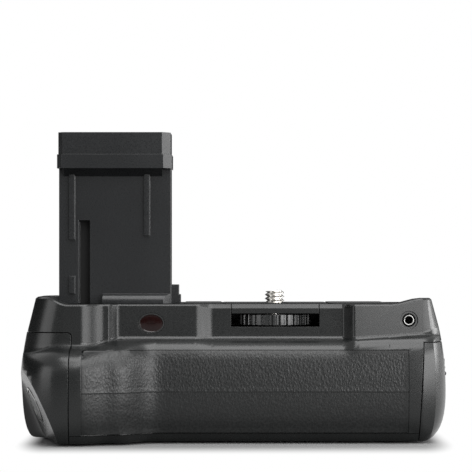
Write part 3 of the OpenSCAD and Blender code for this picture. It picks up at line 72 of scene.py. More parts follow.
# %% Selecting and applying
def alone(obj):
    bpy.ops.object.select_all(action="DESELECT")
    obj.select_set(True)
    bpy.context.view_layer.objects.active = obj


def pick(obj, kind, test):
    alone(obj)
    bpy.ops.object.mode_set(mode="EDIT")
    bpy.ops.mesh.select_mode(type=kind)
    bpy.ops.mesh.select_all(action="DESELECT")
    bpy.ops.object.mode_set(mode="OBJECT")
    items = {"VERT": obj.data.vertices, "EDGE": obj.data.edges, "FACE": obj.data.polygons}[kind]
    for item in items:
        item.select = bool(test(item))
    bpy.ops.object.mode_set(mode="EDIT")


def done():
    bpy.ops.object.mode_set(mode="OBJECT")


def apply(obj, kind, **settings):
    alone(obj)
    modifier = obj.modifiers.new(kind.lower(), kind)
    for name, value in settings.items():
        setattr(modifier, name, value)
    bpy.ops.object.modifier_apply(modifier=modifier.name)


def settle(obj):
    alone(obj)
    bpy.ops.object.transform_apply(location=True, rotation=True, scale=True)


print("helpers ready")

# %% [markdown]
# ## From a solid to a moulded shell
# A solid comes in as loose triangles with razor edges. A real moulding has none: the tool's corners
# are rounded, and each edge carries a thin line of light. A merged copy of the solid has its flat
# triangles dissolved, then a bevel rounds every edge sharper than a limit. The bevel's faces take a
# second material, glossier from polish and painted lighter as a painted highlight along each edge.

# %% Copies of solids
same_plane = math.radians(0.05)


def copy_of(node, name, weld=0.004):
    mesh = nodes[node].data.copy()
    mesh.materials.clear()
    obj = bpy.data.objects.new(name, mesh)
    bpy.context.scene.collection.objects.link(obj)
    alone(obj)
    bpy.ops.object.mode_set(mode="EDIT")
    bpy.ops.mesh.select_all(action="SELECT")
    bpy.ops.mesh.remove_doubles(threshold=weld * MM)
    bpy.ops.mesh.dissolve_limited(angle_limit=same_plane)
    done()
    return obj


def wear(obj, body, slot, finishes, *replaced):
    for finish in finishes:
        obj.data.materials.append(finish)
    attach(obj, body)
    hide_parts(*replaced)
    print(obj.name, "faces:", len(obj.data.polygons))


print("shell tools ready")

# %% [markdown]
# ## Normals that keep flats flat
# Smooth shading averages the faces round a corner. Where a wide flat meets a narrow rounding, the
# average bends light across the whole flat. So each corner looks at the faces it blends with: if
# one of them is far larger, its direction wins, and otherwise they share by area. Flats stay flat,
# and strips of like size still shade as one curve. Most solids need no more than a copy with rounded
# edges, so one function dresses them in one go.

# %% Shading and rounding
far_larger = 6


def shade(obj, limit=34):
    alone(obj)
    bpy.ops.object.shade_smooth()
    mesh = obj.data
    around = [[] for v in mesh.vertices]
    for face in mesh.polygons:
        for i in face.vertices:
            around[i].append((face.normal.copy(), face.area))
    blend = math.cos(math.radians(limit))
    normals = [None] * len(mesh.loops)
    for face in mesh.polygons:
        for loop, i in zip(face.loop_indices, face.vertices):
            shared = [pair for pair in around[i] if pair[0].dot(face.normal) > blend]
            widest = max(shared, key=lambda pair: pair[1], default=(face.normal, face.area))
            if widest[1] > far_larger * face.area:
                normals[loop] = widest[0]
            else:
                mean = sum((pair[0] * pair[1] for pair in shared), Vector())
                normals[loop] = mean.normalized() if mean.length else face.normal.copy()
    mesh.normals_split_custom_set(normals)


def rounded(obj, radius, segments=2, limit=34, corner=34, clamp=False):
    # Bevel faces take material 1, the polished edge finish painted lighter as a painted highlight.
    apply(obj, "BEVEL", width=radius, segments=segments, limit_method="ANGLE",
          angle_limit=math.radians(corner), use_clamp_overlap=clamp, material=1)
    shade(obj, limit)


def dress(node, name, radius_mm, body, slot, *finishes, weld=0.004, **edges):
    shell = copy_of(node, name, weld)
    rounded(shell, radius_mm * MM, **edges)
    wear(shell, body, slot, finishes, node)


print("shading ready")

# %% [markdown]
# ## Colour and shader nodes
# Colours are written as they look on a screen, in sRGB hex, and one function turns them to the
# linear values that shaders need. Another adds a shader node and fills or links its sockets, so
# that a material reads as a short list of what it is made of.


# %% Colour and node helpers
def colour(code):
    parts = [int(code[i:i + 2], 16) / 255 for i in (1, 3, 5)]
    return [p / 12.92 if p <= 0.04045 else ((p + 0.055) / 1.055) ** 2.4 for p in parts] + [1]


def add(tree, kind, sockets=(), **settings):
    made = tree.nodes.new(kind)
    for name, value in settings.items():
        setattr(made, name, value)
    for name, value in dict(sockets).items():
        if isinstance(value, bpy.types.NodeSocket):
            tree.links.new(value, made.inputs[name])
        else:
            made.inputs[name].default_value = value
    return made


def new_finish(name):
    material = bpy.data.materials.new(name)
    material.use_nodes = True
    tree = material.node_tree
    return material, tree, tree.nodes["Principled BSDF"]


print("charcoal in linear:", [round(v, 4) for v in colour("#2a2c2c")[:3]])

# %% [markdown]
# ## Moulded ABS
# Most of the grip is black ABS, moulded in a tool whose face was etched with a fine even grain. The
# eye sees a dark grey that is matt when it faces the camera and lights up softly where it turns to
# a lamp. The grain is about 0.15 mm on the real part, too fine to show, so it is drawn two to four
# times as coarse. A slow cloud of about two centimetres keeps large faces from looking painted.

# %% A family of moulded plastics
cloud_size = 18 * MM


def moulded(name, dark, light, rough, grain_mm, depth_mm, shine=0.5):
    material, tree, shader = new_finish(name)
    place = add(tree, "ShaderNodeTexCoord").outputs["Object"]
    grain = add(tree, "ShaderNodeTexNoise",
                {"Vector": place, "Scale": 1 / (grain_mm * MM), "Detail": 3, "Roughness": 0.6})
    cloud = add(tree, "ShaderNodeTexNoise", {"Vector": place, "Scale": 1 / cloud_size, "Detail": 2})
    blend = add(tree, "ShaderNodeMath", {0: grain.outputs["Fac"], 1: cloud.outputs["Fac"]},
                operation="MULTIPLY")
    tint = add(tree, "ShaderNodeValToRGB", {"Fac": blend.outputs[0]})
    tint.color_ramp.elements[0].position = 0.12
    tint.color_ramp.elements[0].color = colour(dark)
    tint.color_ramp.elements[1].position = 0.42
    tint.color_ramp.elements[1].color = colour(light)
    gloss = add(tree, "ShaderNodeMapRange", {"Value": grain.outputs["Fac"], "From Min": 0.3,
                "From Max": 0.7, "To Min": rough - 0.05, "To Max": rough + 0.06})
    bump = add(tree, "ShaderNodeBump", {"Height": grain.outputs["Fac"], "Strength": 0.5,
               "Distance": depth_mm * MM})
    tree.links.new(tint.outputs["Color"], shader.inputs["Base Color"])
    tree.links.new(gloss.outputs["Result"], shader.inputs["Roughness"])
    tree.links.new(bump.outputs["Normal"], shader.inputs["Normal"])
    shader.inputs["Specular IOR Level"].default_value = shine
    shader.inputs["IOR"].default_value = 1.5
    return material


# The edge finishes are glossier from polish and painted lighter than the body: a painted highlight on
# the bevels.
abs_body = moulded("etched_abs", "#0f1010", "#161717", 0.265, 0.3, 0.002, 0.28)
abs_polished_lit_edge = moulded("etched_abs_polished_lit_edge", "#161717", "#1f2020", 0.2, 0.5, 0.003, 0.35)
abs_tower = moulded("satin_abs", "#0f1011", "#161718", 0.29, 0.35, 0.003, 0.28)
abs_tower_polished_lit_edge = moulded("satin_abs_polished_lit_edge", "#161717", "#1f2020", 0.2, 0.5, 0.003, 0.35)
# The keyway finish is duller and painted darker than the body: painted shade in the keyway.
abs_keyway_shade = moulded("keyway_shade_abs", "#0a0a0a", "#0f0f0f", 0.6, 0.5, 0.004, 0.12)
abs_inner = moulded("plain_abs", "#131414", "#1b1c1c", 0.5, 0.6, 0.01)
abs_wheel = moulded("polished_abs", "#101111", "#191a1a", 0.26, 0.6, 0.006)
abs_pack = moulded("pack_abs", "#1b1c1e", "#26272a", 0.45, 0.5, 0.012)
abs_button = moulded("button_abs", "#101111", "#171818", 0.3, 0.5, 0.008, 0.3)
label = moulded("label_film", "#3a3c40", "#474a4e", 0.4, 0.8, 0.004)
print("plastics:", [m.name for m in (abs_body, abs_tower, abs_inner, abs_wheel, abs_pack, abs_button)])

# %% [markdown]
# ## Grained rubber
# The grip panel and the thumb pad are a soft thermoplastic rubber. Rubber scatters light more than
# ABS, and fine dust makes its black uneven. The panel has a leather grain: its relief is modelled on
# the panel itself, and the shader adds the crisp creases between the pebbles, drawn out a little and
# leaning. The panel carries an attribute that says how deep the grain is at each point, because it
# fades out towards the edges.

# %% Rubbers
crease_lean = math.radians(14)
drawn_out = 0.62
dust_size = 0.3 * MM


def rubber(name, dark, light, rough, crease_mm, depth_mm, share=None):
    material, tree, shader = new_finish(name)
    place = add(tree, "ShaderNodeTexCoord").outputs["Object"]
    drawn = add(tree, "ShaderNodeMapping", {"Vector": place, "Rotation": (0, crease_lean, 0),
                "Scale": (1, 1, drawn_out)})
    crease = add(tree, "ShaderNodeTexVoronoi", {"Vector": drawn.outputs[0],
                 "Scale": 1 / (crease_mm * MM)}, feature="F1")
    height = crease.outputs["Distance"]
    if share:
        depth = add(tree, "ShaderNodeAttribute", attribute_name=share)
        height = add(tree, "ShaderNodeMath", {0: height, 1: depth.outputs["Fac"]},
                     operation="MULTIPLY").outputs[0]
    dust = add(tree, "ShaderNodeTexNoise", {"Vector": place, "Scale": 1 / dust_size, "Detail": 4})
    tint = add(tree, "ShaderNodeValToRGB", {"Fac": dust.outputs["Fac"]})
    tint.color_ramp.elements[0].position = 0.35
    tint.color_ramp.elements[0].color = colour(dark)
    tint.color_ramp.elements[1].position = 0.7
    tint.color_ramp.elements[1].color = colour(light)
    gloss = add(tree, "ShaderNodeMapRange", {"Value": crease.outputs["Distance"], "From Min": 0.0,
                "From Max": 0.8, "To Min": rough - 0.06, "To Max": rough + 0.12})
    bump = add(tree, "ShaderNodeBump", {"Height": height, "Strength": 0.8, "Distance": depth_mm * MM},
               invert=True)
    tree.links.new(tint.outputs["Color"], shader.inputs["Base Color"])
    tree.links.new(gloss.outputs["Result"], shader.inputs["Roughness"])
    tree.links.new(bump.outputs["Normal"], shader.inputs["Normal"])
    shader.inputs["IOR"].default_value = 1.52
    shader.inputs["Specular IOR Level"].default_value = 0.25
    return material


rubber_grip = rubber("leather_grain_rubber", "#0a0b0b", "#101111", 0.32, 0.6, 0.07, "grain_depth")
rubber_pad = rubber("plain_rubber", "#0c0d0d", "#131414", 0.7, 0.35, 0.02)
print("rubbers:", rubber_grip.name, rubber_pad.name)

# %% [markdown]
# ## Metals
# The camera screw and the tripod bush are turned steel with a nickel finish: warm grey, with fine
# rings left by the lathe. The ring of the remote socket is satin nickel, the button's bezel dark
# chrome, and the small screws are blackened. Contacts are brass with a gilt wash. All of them are
# metals, so colour comes from the reflection, and roughness varies a little with handling.

# %% Turned and plated metals
wave_per_band = 0.31
smear_size = 1.4 * MM


def metal(name, tone, rough, mark_mm, depth_mm):
    material, tree, shader = new_finish(name)
    place = add(tree, "ShaderNodeTexCoord").outputs["Object"]
    rings = add(tree, "ShaderNodeTexWave", {"Vector": place, "Scale": wave_per_band / (mark_mm * MM),
                "Distortion": 1.5, "Detail": 2}, bands_direction="Z")
    smears = add(tree, "ShaderNodeTexNoise", {"Vector": place, "Scale": 1 / smear_size, "Detail": 3})
    gloss = add(tree, "ShaderNodeMapRange", {"Value": smears.outputs["Fac"], "From Min": 0.3,
                "From Max": 0.7, "To Min": rough * 0.8, "To Max": rough * 1.3})
    bump = add(tree, "ShaderNodeBump", {"Height": rings.outputs["Fac"], "Strength": 0.4,
               "Distance": depth_mm * MM})
    tree.links.new(gloss.outputs["Result"], shader.inputs["Roughness"])
    tree.links.new(bump.outputs["Normal"], shader.inputs["Normal"])
    shader.inputs["Base Color"].default_value = colour(tone)
    shader.inputs["Metallic"].default_value = 1
    return material


steel = metal("turned_nickel_steel", "#c9c7c3", 0.24, 0.22, 0.004)
bright = metal("satin_nickel", "#a2a2a0", 0.42, 0.3, 0.001)
gilt = metal("gilt_brass", "#d8b25c", 0.24, 0.3, 0.002)
black_steel = metal("blackened_steel", "#3a3a3a", 0.34, 0.3, 0.002)
dark_chrome = metal("dark_chrome", "#7d7d7c", 0.2, 0.4, 0.001)
print("metals:", [m.name for m in (steel, bright, gilt, black_steel, dark_chrome)])

# %% [markdown]
# ## Window, board and film
# The receiver hides behind a window of deep red polycarbonate that passes infrared and almost no
# visible light. The board is glass epoxy under green solder mask, with traces that show as slightly
# lighter lines. The flat lead is amber polyimide with copper tracks along its length.

# %% Red polycarbonate
red_window, tree, shader = new_finish("red_polycarbonate")
place = add(tree, "ShaderNodeTexCoord").outputs["Object"]
flow_size = 3 * MM
flow = add(tree, "ShaderNodeTexNoise", {"Vector": place, "Scale": 1 / flow_size, "Detail": 2})
tint = add(tree, "ShaderNodeValToRGB", {"Fac": flow.outputs["Fac"]})
tint.color_ramp.elements[0].color = colour("#0e0303")
tint.color_ramp.elements[1].color = colour("#1a0706")
tree.links.new(tint.outputs["Color"], shader.inputs["Base Color"])
shader.inputs["Roughness"].default_value = 0.16
shader.inputs["IOR"].default_value = 1.58
shader.inputs["Transmission Weight"].default_value = 0.25
shader.inputs["Specular IOR Level"].default_value = 0.08
print("window:", red_window.name)

# %% Solder mask and polyimide
board_mask, tree, shader = new_finish("green_solder_mask")
place = add(tree, "ShaderNodeTexCoord").outputs["Object"]
block_size = 6 * MM
tracks = add(tree, "ShaderNodeTexBrick", {"Vector": place, "Scale": 1 / block_size, "Mortar Size": 0.03,
             "Color1": colour("#0d3a22"), "Color2": colour("#11442a"), "Mortar": colour("#1c5a39")})
tree.links.new(tracks.outputs["Color"], shader.inputs["Base Color"])
shader.inputs["Roughness"].default_value = 0.32
shader.inputs["Coat Weight"].default_value = 0.4
film, tree, shader = new_finish("amber_polyimide")
place = add(tree, "ShaderNodeTexCoord").outputs["Object"]
track_pitch = 1.0 * MM
lines = add(tree, "ShaderNodeTexWave", {"Vector": place, "Scale": wave_per_band / track_pitch},
            bands_direction="X")
tint = add(tree, "ShaderNodeValToRGB", {"Fac": lines.outputs["Fac"]})
tint.color_ramp.elements[0].color = colour("#8a4f14")
tint.color_ramp.elements[1].color = colour("#c07a2a")
tree.links.new(tint.outputs["Color"], shader.inputs["Base Color"])
shader.inputs["Roughness"].default_value = 0.3
print("board and film:", board_mask.name, film.name)

# %% [markdown]
# ## The body shells
# Housing, base, hand end and drawer end are four mouldings that meet at fine seams. Their forms are
# in the solids, so each is a rounded copy. The radius is small, about 0.1 mm, as a tool maker leaves
# it along a parting edge. On the housing the seat of the remote socket is leaned to lie parallel to
# the wall round it, and its bore is opened a little, which leaves a dark groove round the ring. The
# hand end is closely curved, so more of its points are merged and only its true corners are rounded.

# %% Housing with the socket's seat
housing = copy_of("main_housing", "housing_shell")
low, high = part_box("socket_ring")
jack = (low + high) / 2
seat = -13.6 * MM
bore_reach = 2.2 * MM
seat_reach = 3.2 * MM
groove = 1.2
seat_lean = math.tan(math.radians(7.5))


def on_seat(v, reach):
    from_jack = math.hypot(v.co.x - jack.x, v.co.z - jack.z)
    return abs(v.co.y - seat) < 0.1 * MM and from_jack < reach


pick(housing, "VERT", lambda v: on_seat(v, bore_reach))
bpy.ops.transform.resize(value=(groove, 1, groove), center_override=jack)
done()
for v in housing.data.vertices:
    if on_seat(v, seat_reach):
        v.co.y += seat_lean * (v.co.x - jack.x)
rounded(housing, 0.1 * MM)
wear(housing, "housing", "body_plastic", [abs_body, abs_polished_lit_edge], "main_housing")

# %% Base and the two ends
dress("base_plate", "base_shell", 0.08, "housing", "body_plastic", abs_body, abs_polished_lit_edge)
dress("left_end_cap", "hand_end_shell", 0.12, "housing", "body_plastic", abs_body, abs_polished_lit_edge,
      weld=0.08, corner=52)
dress("drawer_cap", "drawer_end_shell", 0.12, "drawer", "body_plastic", abs_body, abs_polished_lit_edge)

# %% [markdown]
# ## The grained panel
# The front panel is a rubber sheet with a leather grain. A coarse cage is laid in front of the solid
# panel and shrink-wrapped onto it, so it follows the hand bulge. Smoothing and subdividing the cage
# gives one soft sheet where the solid has flat strips, while its top and sides stay on the solid. Its
# hand edge rolls back a little under the fingers, and a low step marks where the tool parted. Two
# displacements then raise the grain: pebbles, and finer wrinkles that lean a little. At the hand the
# sheet is pressed tight against its frame, so there the gap closes. Last comes the sheet's edge.

# %% Cage on the panel
low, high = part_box("front_grip_panel")
columns, rows = 26, 10
inset = 0.03 * MM
stand_off = 5 * MM
held_edge = 4 * MM
bpy.ops.object.select_all(action="DESELECT")
bpy.ops.mesh.primitive_grid_add(x_subdivisions=columns, y_subdivisions=rows, size=1)
panel = bpy.context.object
panel.name = "grip_panel_skin"
panel.rotation_euler = (math.radians(90), 0, 0)
panel.scale = (high.x - low.x - 2 * inset, high.z - low.z - 2 * inset, 1)
panel.location = ((low.x + high.x) / 2, low.y - stand_off, (low.z + high.z) / 2)
settle(panel)
former = copy_of("front_grip_panel", "panel_former")


def lay_on_former():
    apply(panel, "SHRINKWRAP", target=former, wrap_method="PROJECT", use_project_y=True,
          use_positive_direction=True, use_negative_direction=True)


lay_on_former()
apply(panel, "SUBSURF", levels=1, render_levels=1, boundary_smooth="PRESERVE_CORNERS")
lay_on_former()
inside = panel.vertex_groups.new(name="inside")
for v in panel.data.vertices:
    side = min(v.co.x - low.x, high.x - v.co.x, high.z - v.co.z)
    inside.add([v.index], min(1, max(0, side / held_edge)), "REPLACE")
apply(panel, "SMOOTH", factor=0.5, iterations=7, use_x=False, use_z=False, vertex_group="inside")
apply(panel, "SUBSURF", levels=3, render_levels=3, boundary_smooth="PRESERVE_CORNERS")
panel.vertex_groups.clear()
bpy.data.objects.remove(former)
print("panel grid:", len(panel.data.vertices), "depth mm:",
      round(min(v.co.y for v in panel.data.vertices) / MM, 2))

# %% Rolled edge and parting step
parting = 16.7 * MM
step_height, step_run = 0.09 * MM, 1.6 * MM
roll_depth, roll_run = 0.6 * MM, 5 * MM
for v in panel.data.vertices:
    v.co.y += roll_depth * max(0, 1 - (v.co.x - low.x) / roll_run) ** 2
    above = (v.co.z - parting) / step_run
    if 0 <= above < 1:
        v.co.y -= step_height * (1 - above)
print("parting at mm:", parting / MM)

# %% Grain
bare_edge, edge_fade, foot_fade = 0.3 * MM, 1.2 * MM, 7 * MM
grain_at_foot, grain_below_parting = 0.2, 0.7
grain = panel.vertex_groups.new(name="grain")
depths = []
for v in panel.data.vertices:
    up = v.co.z - low.z
    side = min(v.co.x - low.x, high.x - v.co.x, high.z - v.co.z, up)
    share = min(1, max(0, (side - bare_edge) / edge_fade)) * min(1, grain_at_foot + up / foot_fade)
    if v.co.z < parting:
        share *= grain_below_parting
    grain.add([v.index], share, "REPLACE")
    depths.append(share)
panel.data.attributes.new("grain_depth", "FLOAT", "POINT").data.foreach_set("value", depths)
pebble_size, pebble_height = 0.55 * MM, -0.055 * MM
wrinkle_size, wrinkle_height = 0.3 * MM, 0.03 * MM
bpy.ops.object.empty_add(location=(0, 0, 0), rotation=(0, math.radians(16), 0))
lean = bpy.context.object
lean.scale = (1, 1, 1.6)
pebbles = bpy.data.textures.new("pebbles", "VORONOI")
pebbles.noise_scale = pebble_size
wrinkles = bpy.data.textures.new("wrinkles", "CLOUDS")
wrinkles.noise_scale = wrinkle_size
wrinkles.noise_depth = 1
for texture, height in ((pebbles, pebble_height), (wrinkles, wrinkle_height)):
    apply(panel, "DISPLACE", texture=texture, texture_coords="OBJECT", texture_coords_object=lean,
          direction="NORMAL", strength=height, mid_level=0.5, vertex_group="grain")
bpy.data.objects.remove(lean)
print("mean grain depth:", round(sum(depths) / len(depths), 2))

# %% Edge of the sheet
rim, gap = 0.06 * MM, 0.09 * MM
hand_from = -46 * MM
sheet_thickness = 0.7 * MM
for v in panel.data.vertices:
    if v.co.x < low.x + rim:
        v.co.x -= gap
    if v.co.z > high.z - rim and v.co.x < hand_from:
        v.co.z += gap
apply(panel, "SOLIDIFY", thickness=sheet_thickness, offset=-1, use_rim_only=True)
panel.vertex_groups.clear()
shade(panel, 70)
wear(panel, "housing", "grip_rubber", [rubber_grip], "front_grip_panel")

# %% [markdown]
# ## Tower
# The tower is a plain satin moulding that slips into the camera. Its edges are a little rounder,
# so that it finds its way in the dark. The floor of its keyway is duller and painted darker as painted
# shade for its depth. The step round the head is thin, so the head's radius stays under half of it.

# %% Tower shells
keyway_left, keyway_right, keyway_front = -63 * MM, -58 * MM, -5.5 * MM
tower = copy_of("tower_body", "tower_shell")
rounded(tower, 0.2 * MM)
# Faces on the keyway's floor take the painted-shade finish.
for face in tower.data.polygons:
    deep = face.normal.y < -0.9 and face.center.y > keyway_front
    if deep and keyway_left < face.center.x < keyway_right:
        face.material_index = 2
wear(tower, "housing", "tower_plastic", [abs_tower, abs_tower_polished_lit_edge, abs_keyway_shade], "tower_body")
dress("tower_back", "tower_lid", 0.2, "housing", "tower_plastic", abs_tower, abs_tower_polished_lit_edge)
dress("tower_head", "tower_head_shell", 0.12, "housing", "tower_plastic", abs_tower, abs_tower_polished_lit_edge,
      clamp=True)

# %% [markdown]
# ## Turned threads
# A quarter-inch camera thread has twenty turns to the inch. Its profile is one zigzag as long as
# the pitch: a narrow root, a flank, a narrow crest and a flank back. Swept round the axis while it
# climbs, each turn meets the next, and the welded sweep is cut flat at both ends.

# %% A threaded rod
pitch = 25.4 / 20 * MM


def threaded_rod(name, crest, root, foot, top):
    profile = [(root, 0), (root, 0.07), (crest, 0.44), (crest, 0.56), (root, 0.93), (root, 1)]
    turns = math.ceil((top - foot) / pitch) + 2
    mesh = bpy.data.meshes.new(name)
    mesh.from_pydata([(r, 0, foot + (t - 1.5) * pitch) for r, t in profile],
                     [(i, i + 1) for i in range(len(profile) - 1)], [])
    rod = bpy.data.objects.new(name, mesh)
    bpy.context.scene.collection.objects.link(rod)
    apply(rod, "SCREW", axis="Z", angle=2 * math.pi, screw_offset=pitch, iterations=turns,
          steps=40, render_steps=40)
    pick(rod, "FACE", lambda f: True)
    bpy.ops.mesh.remove_doubles(threshold=0.002 * MM)
    for z, keep_below in ((foot, False), (top, True)):
        bpy.ops.mesh.select_all(action="SELECT")
        bpy.ops.mesh.bisect(plane_co=(0, 0, z), plane_no=(0, 0, 1), use_fill=True,
                            clear_outer=keep_below, clear_inner=not keep_below)
    bpy.ops.mesh.select_all(action="SELECT")
    bpy.ops.mesh.normals_make_consistent(inside=False)
    done()
    return rod


def cut(obj, tool, operation="DIFFERENCE"):
    apply(obj, "BOOLEAN", object=tool, operation=operation, solver="EXACT")
    bpy.data.objects.remove(tool)


print("pitch mm:", pitch / MM)

# %% [markdown]
# ## Camera screw
# The screw is turned from bar: shank, neck and thread, with a chamfer at the tip. The plain end of
# the solid is cut off at the neck and the thread put in its place, first shaped by a blank whose
# upper edge is chamfered.

# %% Screw with its thread
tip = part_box("camera_screw")[1].z
thread_foot = tip - 4.2 * MM
crest, root = 3.17 * MM, 2.42 * MM
blank_radius, blank_length = 3.4 * MM, 8 * MM
tip_chamfer = 0.75 * MM
screw = copy_of("camera_screw", "camera_screw_turned")
pick(screw, "FACE", lambda f: True)
bpy.ops.mesh.bisect(plane_co=(0, 0, thread_foot - 0.2 * MM), plane_no=(0, 0, 1), use_fill=True,
                    clear_outer=True)
done()
rounded(screw, 0.1 * MM)
thread = threaded_rod("camera_thread", crest, root, thread_foot - 0.4 * MM, tip)
bpy.ops.object.select_all(action="DESELECT")
bpy.ops.mesh.primitive_cylinder_add(vertices=64, radius=blank_radius, depth=blank_length,
                                    location=(0, 0, tip - blank_length / 2))
blank = bpy.context.object
settle(blank)
pick(blank, "EDGE", lambda e: all(blank.data.vertices[i].co.z > tip - MM for i in e.vertices))
bpy.ops.mesh.bevel(offset=tip_chamfer, segments=1, affect="EDGES")
done()
cut(thread, blank, "INTERSECT")
shade(thread, 30)
alone(screw)
thread.select_set(True)
bpy.ops.object.join()
screw.data.validate()
wear(screw, "screw", "steel", [steel, steel], "camera_screw")

# %% [markdown]
# ## Wheel, cover and deck
# The wheel is moulded with ribs for the thumb. The cover plate carries a tongue that closes the
# window above the wheel. Thin rubber pads keep the camera from sliding.

# %% Wheel, cover and pads
dress("thumbwheel", "ribbed_wheel", 0.14, "screw", "wheel_plastic", abs_wheel, abs_wheel)
dress("wheel_cover", "cover_plate", 0.08, "housing", "body_plastic", abs_body, abs_polished_lit_edge)
dress("deck_pads", "deck_pad_sheets", 0.1, "housing", "pad_rubber", rubber_pad, rubber_pad)

# %% [markdown]
# ## Receiver window
# The window is pressed in from the front. A flat black rim holds it, and inside the rim the red
# face lies a little lower and swells slightly, so it shows a darker ring and a soft middle.

# %% Window with rim
rim_width, rim_slope, rim_drop = 0.42 * MM, 0.22 * MM, 0.2 * MM
red_from = 0.44 * MM
window = copy_of("receiver_window", "receiver_lens")
pick(window, "FACE", lambda f: f.normal.y < -0.99)
bpy.ops.mesh.inset(thickness=rim_width, depth=0)
bpy.ops.mesh.inset(thickness=rim_slope, depth=-rim_drop)
for width_mm, swell_mm in ((0.5, 0.05), (0.7, 0.034), (0.9, 0.018)):
    bpy.ops.mesh.inset(thickness=width_mm * MM, depth=swell_mm * MM)
done()
low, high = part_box("receiver_window")
middle = (low + high) / 2
half = (high - low) / 2 - Vector((red_from, 0, red_from))
for face in window.data.polygons:
    out = ((face.center.x - middle.x) / half.x) ** 2 + ((face.center.z - middle.z) / half.z) ** 2
    face.material_index = 0 if out < 1 and face.center.y < low.y + 0.3 * MM else 1
shade(window, 25)
wear(window, "housing", "window_red", [red_window, abs_wheel], "receiver_window")

# %% [markdown]
# ## Socket ring
# The ring of the remote socket is turned and plated. Its section has a straight bore, a countersink
# that guides the plug, and a rounded lip.

# %% Turned ring
low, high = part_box("socket_ring")
section = [(1.25, 0), (1.25, 1.1), (1.31, 1.4), (1.38, 1.48), (1.46, 1.5), (1.54, 1.48), (1.61, 1.4),
           (1.7, 1.1), (1.7, 0)]
mesh = bpy.data.meshes.new("socket_ring_turned")
count = len(section)
mesh.from_pydata([(r * MM, 0, h * MM) for r, h in section],
                 [(i, (i + 1) % count) for i in range(count)], [])
ring = bpy.data.objects.new("socket_ring_turned", mesh)
bpy.context.scene.collection.objects.link(ring)
apply(ring, "SCREW", axis="Z", angle=2 * math.pi, screw_offset=0, steps=56, render_steps=56,
      use_merge_vertices=True, merge_threshold=0.002 * MM)
ring.rotation_euler = (math.radians(90), 0, 0)
ring.location = ((low.x + high.x) / 2, high.y, (low.z + high.z) / 2)
settle(ring)
pick(ring, "FACE", lambda f: True)
bpy.ops.mesh.normals_make_consistent(inside=False)
done()
shade(ring, 35)
wear(ring, "housing", "bright_ring", [bright], "socket_ring")

# %% [markdown]
# ## Controls
# Button, bezel, knob, latch and thumb pad are small pieces that fingers find by their edges, so most
# of these edges are rounder than the body's.

# %% Button, bezel, knob, latch and thumb pad
for node, name, radius_mm, body, slot, finish in (
        ("shutter_button", "release_button", 0.2, "button", "button_plastic", abs_button),
        ("button_bezel", "release_bezel", 0.1, "housing", "bright_ring", dark_chrome),
        ("power_knob", "switch_knob", 0.2, "knob", "button_plastic", abs_button),
        ("latch_slider", "latch_key", 0.14, "latch", "body_plastic", abs_body),
        ("thumb_pad", "thumb_rest", 0.2, "housing", "pad_rubber", rubber_pad)):
    dress(node, name, radius_mm, body, slot, finish, finish, segments=3)

# %% [markdown]
# ## Underside
# Six screws hold the base, six rubber feet keep it from sliding, and a threaded bush takes a tripod.
# A cross recess is one tapered blade and the same blade turned by a quarter, pressed into each
# screw's head. The bush gets its thread from a threaded rod taken out of it.

# %% Cross recesses
blade_taper = (0.45, 0.6, 1)


def blade(place, reach, depth, turn):
    bpy.ops.object.select_all(action="DESELECT")
    bpy.ops.mesh.primitive_cube_add(size=1, location=(0, 0, 0))
    tool = bpy.context.object
    tool.scale = (2 * reach, 0.5 * reach, 2 * depth)
    settle(tool)
    pick(tool, "FACE", lambda f: f.normal.z > 0.9)
    bpy.ops.transform.resize(value=blade_taper)
    done()
    tool.rotation_euler = (0, 0, turn)
    tool.location = place
    settle(tool)
    return tool


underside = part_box("base_screws")[0].z
head_spread = 8 * MM
recess_reach, recess_depth = 1.0 * MM, 0.7 * MM
screws = copy_of("base_screws", "base_screws_driven")
rims = [v.co.copy() for v in screws.data.vertices if v.co.z < underside + 0.02 * MM]
heads = []
while rims:
    near = [v for v in rims if (v - rims[0]).length < head_spread]
    rims = [v for v in rims if v not in near]
    middle = [(min(v[i] for v in near) + max(v[i] for v in near)) / 2 for i in (0, 1)]
    heads.append((middle[0], middle[1], underside))
for place in heads:
    for turn in (0, math.radians(90)):
        cut(screws, blade(place, recess_reach, recess_depth, turn))
rounded(screws, 0.06 * MM)
wear(screws, "housing", "steel", [black_steel, black_steel], "base_screws")
print("recesses:", len(heads))

# %% Bush and feet
bush = copy_of("tripod_bush", "tripod_bush_turned")
rounded(bush, 0.15 * MM)
low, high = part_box("tripod_bush")
middle = (low + high) / 2
tap_crest, tap_root = 3.2 * MM, 2.5 * MM
tap = threaded_rod("tap", tap_crest, tap_root, low.z - 0.5 * MM, high.z - 1.2 * MM)
tap.location = (middle.x, middle.y, 0)
settle(tap)
cut(bush, tap)
shade(bush, 30)
wear(bush, "housing", "steel", [steel, steel], "tripod_bush")
dress("base_feet", "base_foot_pads", 0.25, "housing", "pad_rubber", rubber_pad, rubber_pad, segments=3)

# %% [markdown]
# ## Drawer and packs
# The drawer slides out with two packs. A pack is a closed shell with a blank label let into its top,
# a hair lower than the shell.

# %% Packs with blank labels
label_border, let_in = 1.0 * MM, 0.08 * MM
for node in ("inner_pack", "outer_pack"):
    pack = copy_of(node, node + "_shell")
    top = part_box(node)[1].z
    rounded(pack, 0.3 * MM)
    pick(pack, "FACE", lambda f: f.normal.z > 0.99 and f.center.z > top - 0.02 * MM)
    bpy.ops.mesh.dissolve_faces()
    bpy.ops.mesh.inset(thickness=label_border, depth=0)
    bpy.ops.mesh.inset(thickness=let_in, depth=-let_in)
    done()
    for face in pack.data.polygons:
        if face.select:
            face.material_index = 2
    shade(pack)
    wear(pack, "drawer", "pack_plastic", [abs_pack, abs_pack, label], node)

# %% Drawer
dress("battery_drawer", "drawer_tray", 0.25, "drawer", "inner_plastic", abs_inner, abs_inner)
